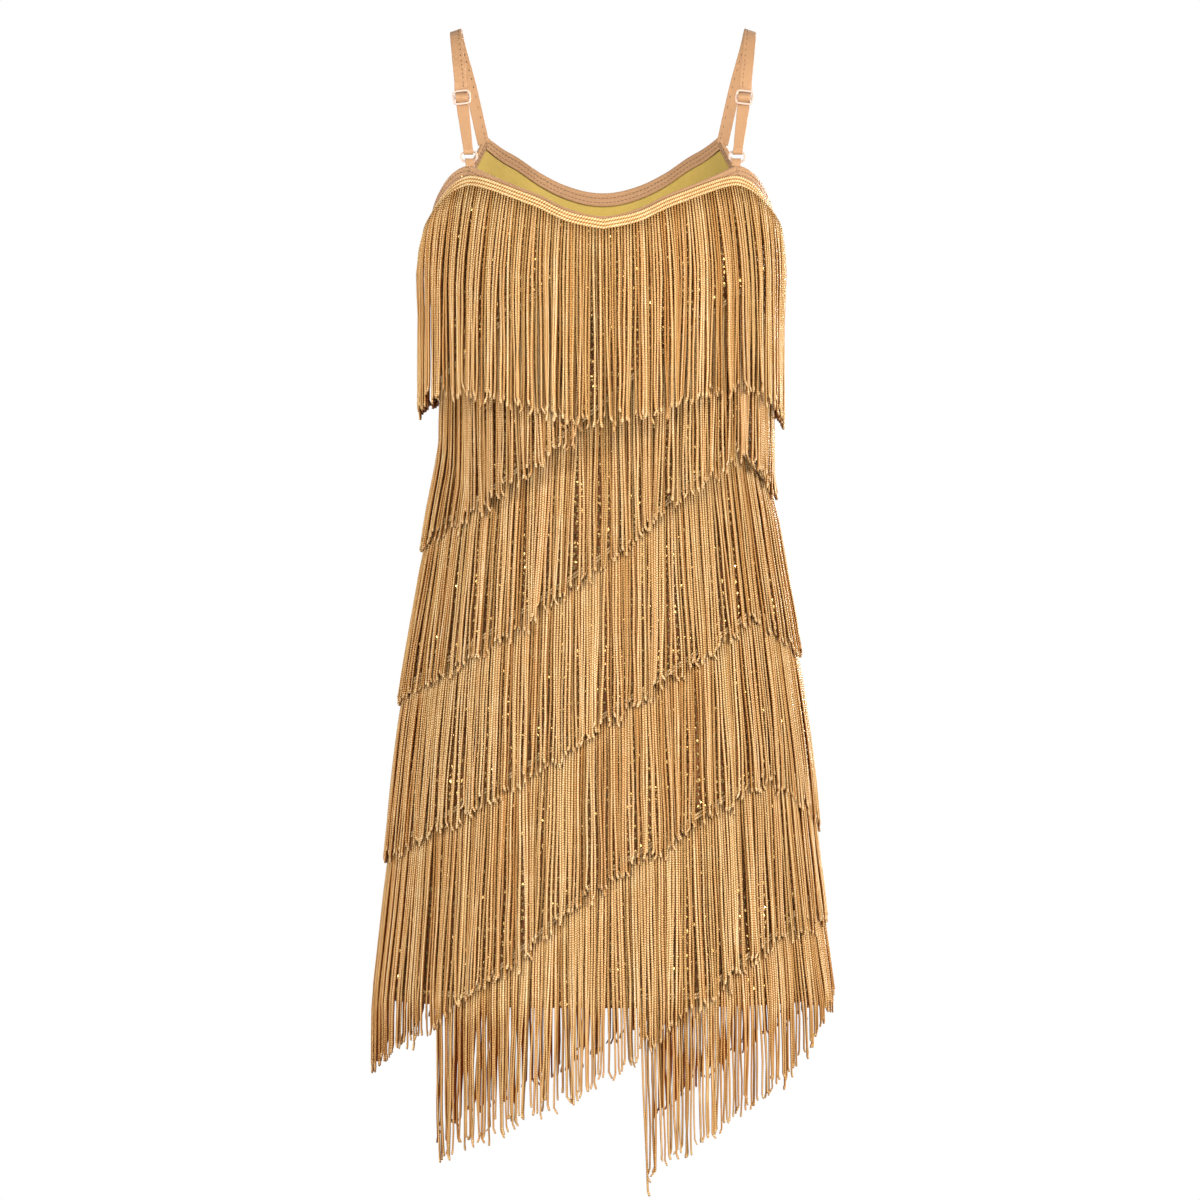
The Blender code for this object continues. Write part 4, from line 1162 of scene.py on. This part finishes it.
def strands(name, turns, top, tip, profile, flared, sizes, seed, material):
    """Strands as six-sided tubes of flat, slowly turning section, with a small knot at each end."""
    random = np.random.default_rng(seed)
    tip = tip + waving(turns, random, (3, 5, 11), sizes.uneven * 0.4)
    tip = tip + random.normal(0, sizes.uneven * 0.6, len(turns)) + random.exponential(0.0016, len(turns))
    points, tangent, outward, drop, behind = strand_centres(turns, top, tip, profile, flared, sizes, random)
    count, rows = points.shape[:2]
    facing = random.uniform(-0.7, 0.7, count)[:, None] + random.normal(0, 6.0, count)[:, None] * drop
    swing = np.arange(STRAND_SIDES) * 2 * math.pi / STRAND_SIDES
    size = STRAND_SWELL[None] * random.uniform(0.88, 1.10, count)[:, None]
    size = size * np.where(points[..., 2] < FREE_BELOW, FREE_WIDTH, 1.0)
    wide = size * sizes.strand_width / 2
    deep = size * sizes.strand_depth / 2
    flat = tangent[:, None] * np.cos(facing)[..., None] + outward[:, None] * np.sin(facing)[..., None]
    thick = outward[:, None] * np.cos(facing)[..., None] - tangent[:, None] * np.sin(facing)[..., None]
    spokes = (flat[:, :, None] * (wide[..., None] * np.cos(swing))[..., None]
              + thick[:, :, None] * (deep[..., None] * np.sin(swing))[..., None])
    rings = points[:, :, None] + spokes
    # How far each point faces away from the cloth, which sets where shade and a highlight are painted on it
    shade = np.sum(spokes * outward[:, None, None], axis=-1) / (sizes.strand_width / 2)
    quads, row, column = grid_faces(count, rows, STRAND_SIDES, wrap_columns=True)
    strand = np.repeat(np.arange(count), len(quads) // count)
    offset = random.random(count)[strand][:, None] * sizes.stitch
    corner_drop = drop[strand[:, None], row] + offset
    uv = [np.stack([column / STRAND_SIDES, corner_drop], axis=-1).reshape(-1, 2)]
    base = (np.arange(count) * rows * STRAND_SIDES)[:, None]
    first = base + np.arange(STRAND_SIDES)[None, ::-1]
    last = base + (rows - 1) * STRAND_SIDES + np.arange(STRAND_SIDES)[None]
    uv += [np.zeros((2 * count * STRAND_SIDES, 2))]
    # Neighbouring strands are alike in tone, with odd ones among them
    neighbour = np.convolve(random.normal(0, 1, count + 12), np.ones(13) / 13, mode="valid") * 2.2
    tone = np.clip(0.5 + 0.16 * neighbour + random.normal(0, 0.30, count), 0, 1)
    marks = {
        "tone": np.broadcast_to(tone[:, None, None], (count, rows, STRAND_SIDES)),
        "along": np.broadcast_to(STRAND_STOPS[None, :, None], (count, rows, STRAND_SIDES)),
        # open is low on the sides turned to the cloth and lowered on the strands behind, for painted shade
        # there
        "open": np.clip(0.10 + 1.10 * shade, 0, 1) * np.where(behind, 0.80, 1.0)[:, None, None],
    }
    return new_piece(name, rings, [quads, first, last], [material], uv=np.vstack(uv), marks=marks)


def build_tier(name, header, tips, first, last, finishes, sizes, seed, at_neck=False):
    """One tier: its braided header, and its strands from the header's lower edge."""
    around = last - first >= 360.0
    hang = NECK_HANG if at_neck else TIER_HANG
    tall = HEADER_HEIGHT if at_neck else HEADER_HEIGHT * SLANTING_HEADER
    rows, step = NECK_BRAID if at_neck else TIER_BRAID
    strand_finish, braid_finish = finishes
    turns = even_turns(first, last, header, sizes.strand_pitch, around)
    top = header(turns) - tall * STRAND_ROOT
    piece = strands("strands_" + name, turns, top, tips(turns), hang, at_neck, sizes, seed, strand_finish)
    settle(piece, "fringe", "fringe_" + name)
    path = even_turns(first, last, header, step, around)
    near = hang[0][1] - BRAID_THICKNESS
    braid = header_piece("header_" + name, path, header(path), tall, near, around, rows, at_neck,
                         braid_finish)
    settle(braid, "fringe")


def tier_finishes(word, colours, warmth, hollow_shade, stitch):
    """Finishes of a tier's strands and of its braid, each with a warmth and a tint of painted shade for its
    hollows.
    """
    return (
        fringe_material(word + " strands", colours, warmth[0], hollow_shade[0], 4.0, stitch),
        fringe_material(word + " braid", colours, warmth[1], hollow_shade[1], 0.0, BRAID_PITCH),
    )


class DRESS_OT_neck_fringe(bpy.types.Operator):
    """Braided header and long fringe round the neckline and armholes"""
    bl_idname = "dress.neck_fringe"
    bl_label = "Neck fringe"

    def execute(self, context):
        sizes, colours = context.scene.dress_sizes, context.scene.dress_colours
        finishes = tier_finishes(
            "Champagne", colours, (1.03, 0.98), ((0.72, 0.50, 0.27), (0.50, 0.27, 0.10)), sizes.stitch
        )
        build_tier("neck", neck_header, neck_tips, 0.0, 360.0, finishes, sizes, 3, at_neck=True)
        return {"FINISHED"}


class DRESS_OT_slanting_fringe(bpy.types.Operator):
    """Slanting tiers of fringe from under the neck fringe to below the hem"""
    bl_idname = "dress.slanting_fringe"
    bl_label = "Slanting fringe"

    def execute(self, context):
        sizes, colours = context.scene.dress_sizes, context.scene.dress_colours
        finishes = tier_finishes("Gold", colours, (0.95, 0.95), ((0.56, 0.31, 0.11),) * 2, sizes.stitch)
        for seed, (letter, (first, last, heights, ends)) in enumerate(TIERS.items()):
            def header(turn, heights=heights):
                return np.maximum(slanting_line(heights, turn) + HEADER_RAISED, HEM + HEM_CLEARANCE)

            def tips(turn, ends=ends):
                return slanting_line(ends, turn) - ENDS_LOWERED

            build_tier(letter, header, tips, first, last, finishes, sizes, 20 + seed)
        return {"FINISHED"}


# Stage

def floor_material():
    """Pale matt floor with a faint unevenness."""
    material, tree, shader = new_material("Pale floor")
    cloudy = noise(tree, object_place(tree), 3.0, 2.0)
    colour = blend(tree, cloudy, rgba((0.88, 0.88, 0.87)), rgba((0.92, 0.92, 0.91)))
    feed(tree, shader, {"Base Color": colour, "Roughness": 0.85})
    return material


def area_light(name, place, target, width, power, colour):
    """A square soft light turned to a target."""
    data = bpy.data.lights.new(name, "AREA")
    data.size = width
    data.energy = power
    data.color = colour
    lamp = bpy.data.objects.new(name, data)
    lamp.location = place
    lamp.rotation_euler = (Vector(target) - Vector(place)).to_track_quat("-Z", "Y").to_euler()
    bpy.context.scene.collection.objects.link(lamp)


class DRESS_OT_stage(bpy.types.Operator):
    """Plain pale floor, soft studio light and the camera in front of the dress"""
    bl_idname = "dress.stage"
    bl_label = "Floor, light and camera"

    def execute(self, context):
        scene = context.scene
        angle, radius = np.meshgrid(np.arange(96) * 2 * math.pi / 96, np.linspace(*FLOOR_RADII, 12))
        level = np.full(angle.shape, FLOOR_HEIGHT)
        points = np.stack([radius * np.cos(angle), radius * np.sin(angle), level], axis=-1)
        quads = grid_faces(1, 12, 96, wrap_columns=True)[0][:, ::-1]
        floor = new_piece("floor", points, [quads, np.arange(96)[None]], [floor_material()])
        world = bpy.data.worlds.new("Soft studio")
        world.use_nodes = True
        tree = world.node_tree
        # A white backdrop to the camera, and only a little light from it on the dress
        seen = add(tree, "ShaderNodeLightPath").outputs["Is Camera Ray"]
        strength = calc(tree, "MULTIPLY_ADD", seen, 0.88, 0.12)
        feed(tree, tree.nodes["Background"], {"Color": rgba((1.0, 1.0, 1.0)), "Strength": strength})
        scene.world = world
        scene.view_settings.view_transform = "Standard"
        for row in LIGHTS:
            area_light(*row)
        data = bpy.data.cameras.new("Photo camera")
        data.sensor_width = SENSOR
        data.lens = SENSOR * abs(CAMERA_PLACE[1]) / VIEW_WIDTH
        camera = bpy.data.objects.new("Photo camera", data)
        camera.location = CAMERA_PLACE
        camera.rotation_euler = (math.pi / 2, 0.0, 0.0)
        scene.collection.objects.link(camera)
        scene.camera = camera
        return {"FINISHED"}


class DRESS_PT_panel(bpy.types.Panel):
    """Buttons for each group of pieces, and the sizes and colours"""
    bl_idname = "DRESS_PT_panel"
    bl_label = "Latin dance dress"
    bl_space_type = "VIEW_3D"
    bl_region_type = "UI"
    bl_category = "Dress"

    def draw(self, context):
        for operator in OPERATORS:
            self.layout.operator(operator.bl_idname)
        for group in (context.scene.dress_sizes, context.scene.dress_colours):
            column = self.layout.column()
            for key in group.bl_rna.properties.keys():
                if key not in {"rna_type", "name"}:
                    column.prop(group, key)


OPERATORS = (DRESS_OT_stage, DRESS_OT_cloth, DRESS_OT_bindings, DRESS_OT_straps, DRESS_OT_neck_fringe,
             DRESS_OT_slanting_fringe)
CLASSES = (DressSizes, DressColours) + OPERATORS + (DRESS_PT_panel,)


def register():
    """Register the classes and the two groups of settings."""
    for one in CLASSES:
        bpy.utils.register_class(one)
    bpy.types.Scene.dress_sizes = bpy.props.PointerProperty(type=DressSizes)
    bpy.types.Scene.dress_colours = bpy.props.PointerProperty(type=DressColours)


def unregister():
    """Remove the settings and the classes."""
    del bpy.types.Scene.dress_colours
    del bpy.types.Scene.dress_sizes
    for one in reversed(CLASSES):
        bpy.utils.unregister_class(one)


def main():
    """Build the stage and every piece."""
    register()
    bpy.ops.dress.stage()
    bpy.ops.dress.cloth()
    bpy.ops.dress.bindings()
    bpy.ops.dress.straps()
    bpy.ops.dress.neck_fringe()
    bpy.ops.dress.slanting_fringe()


if __name__ == "__main__":
    main()
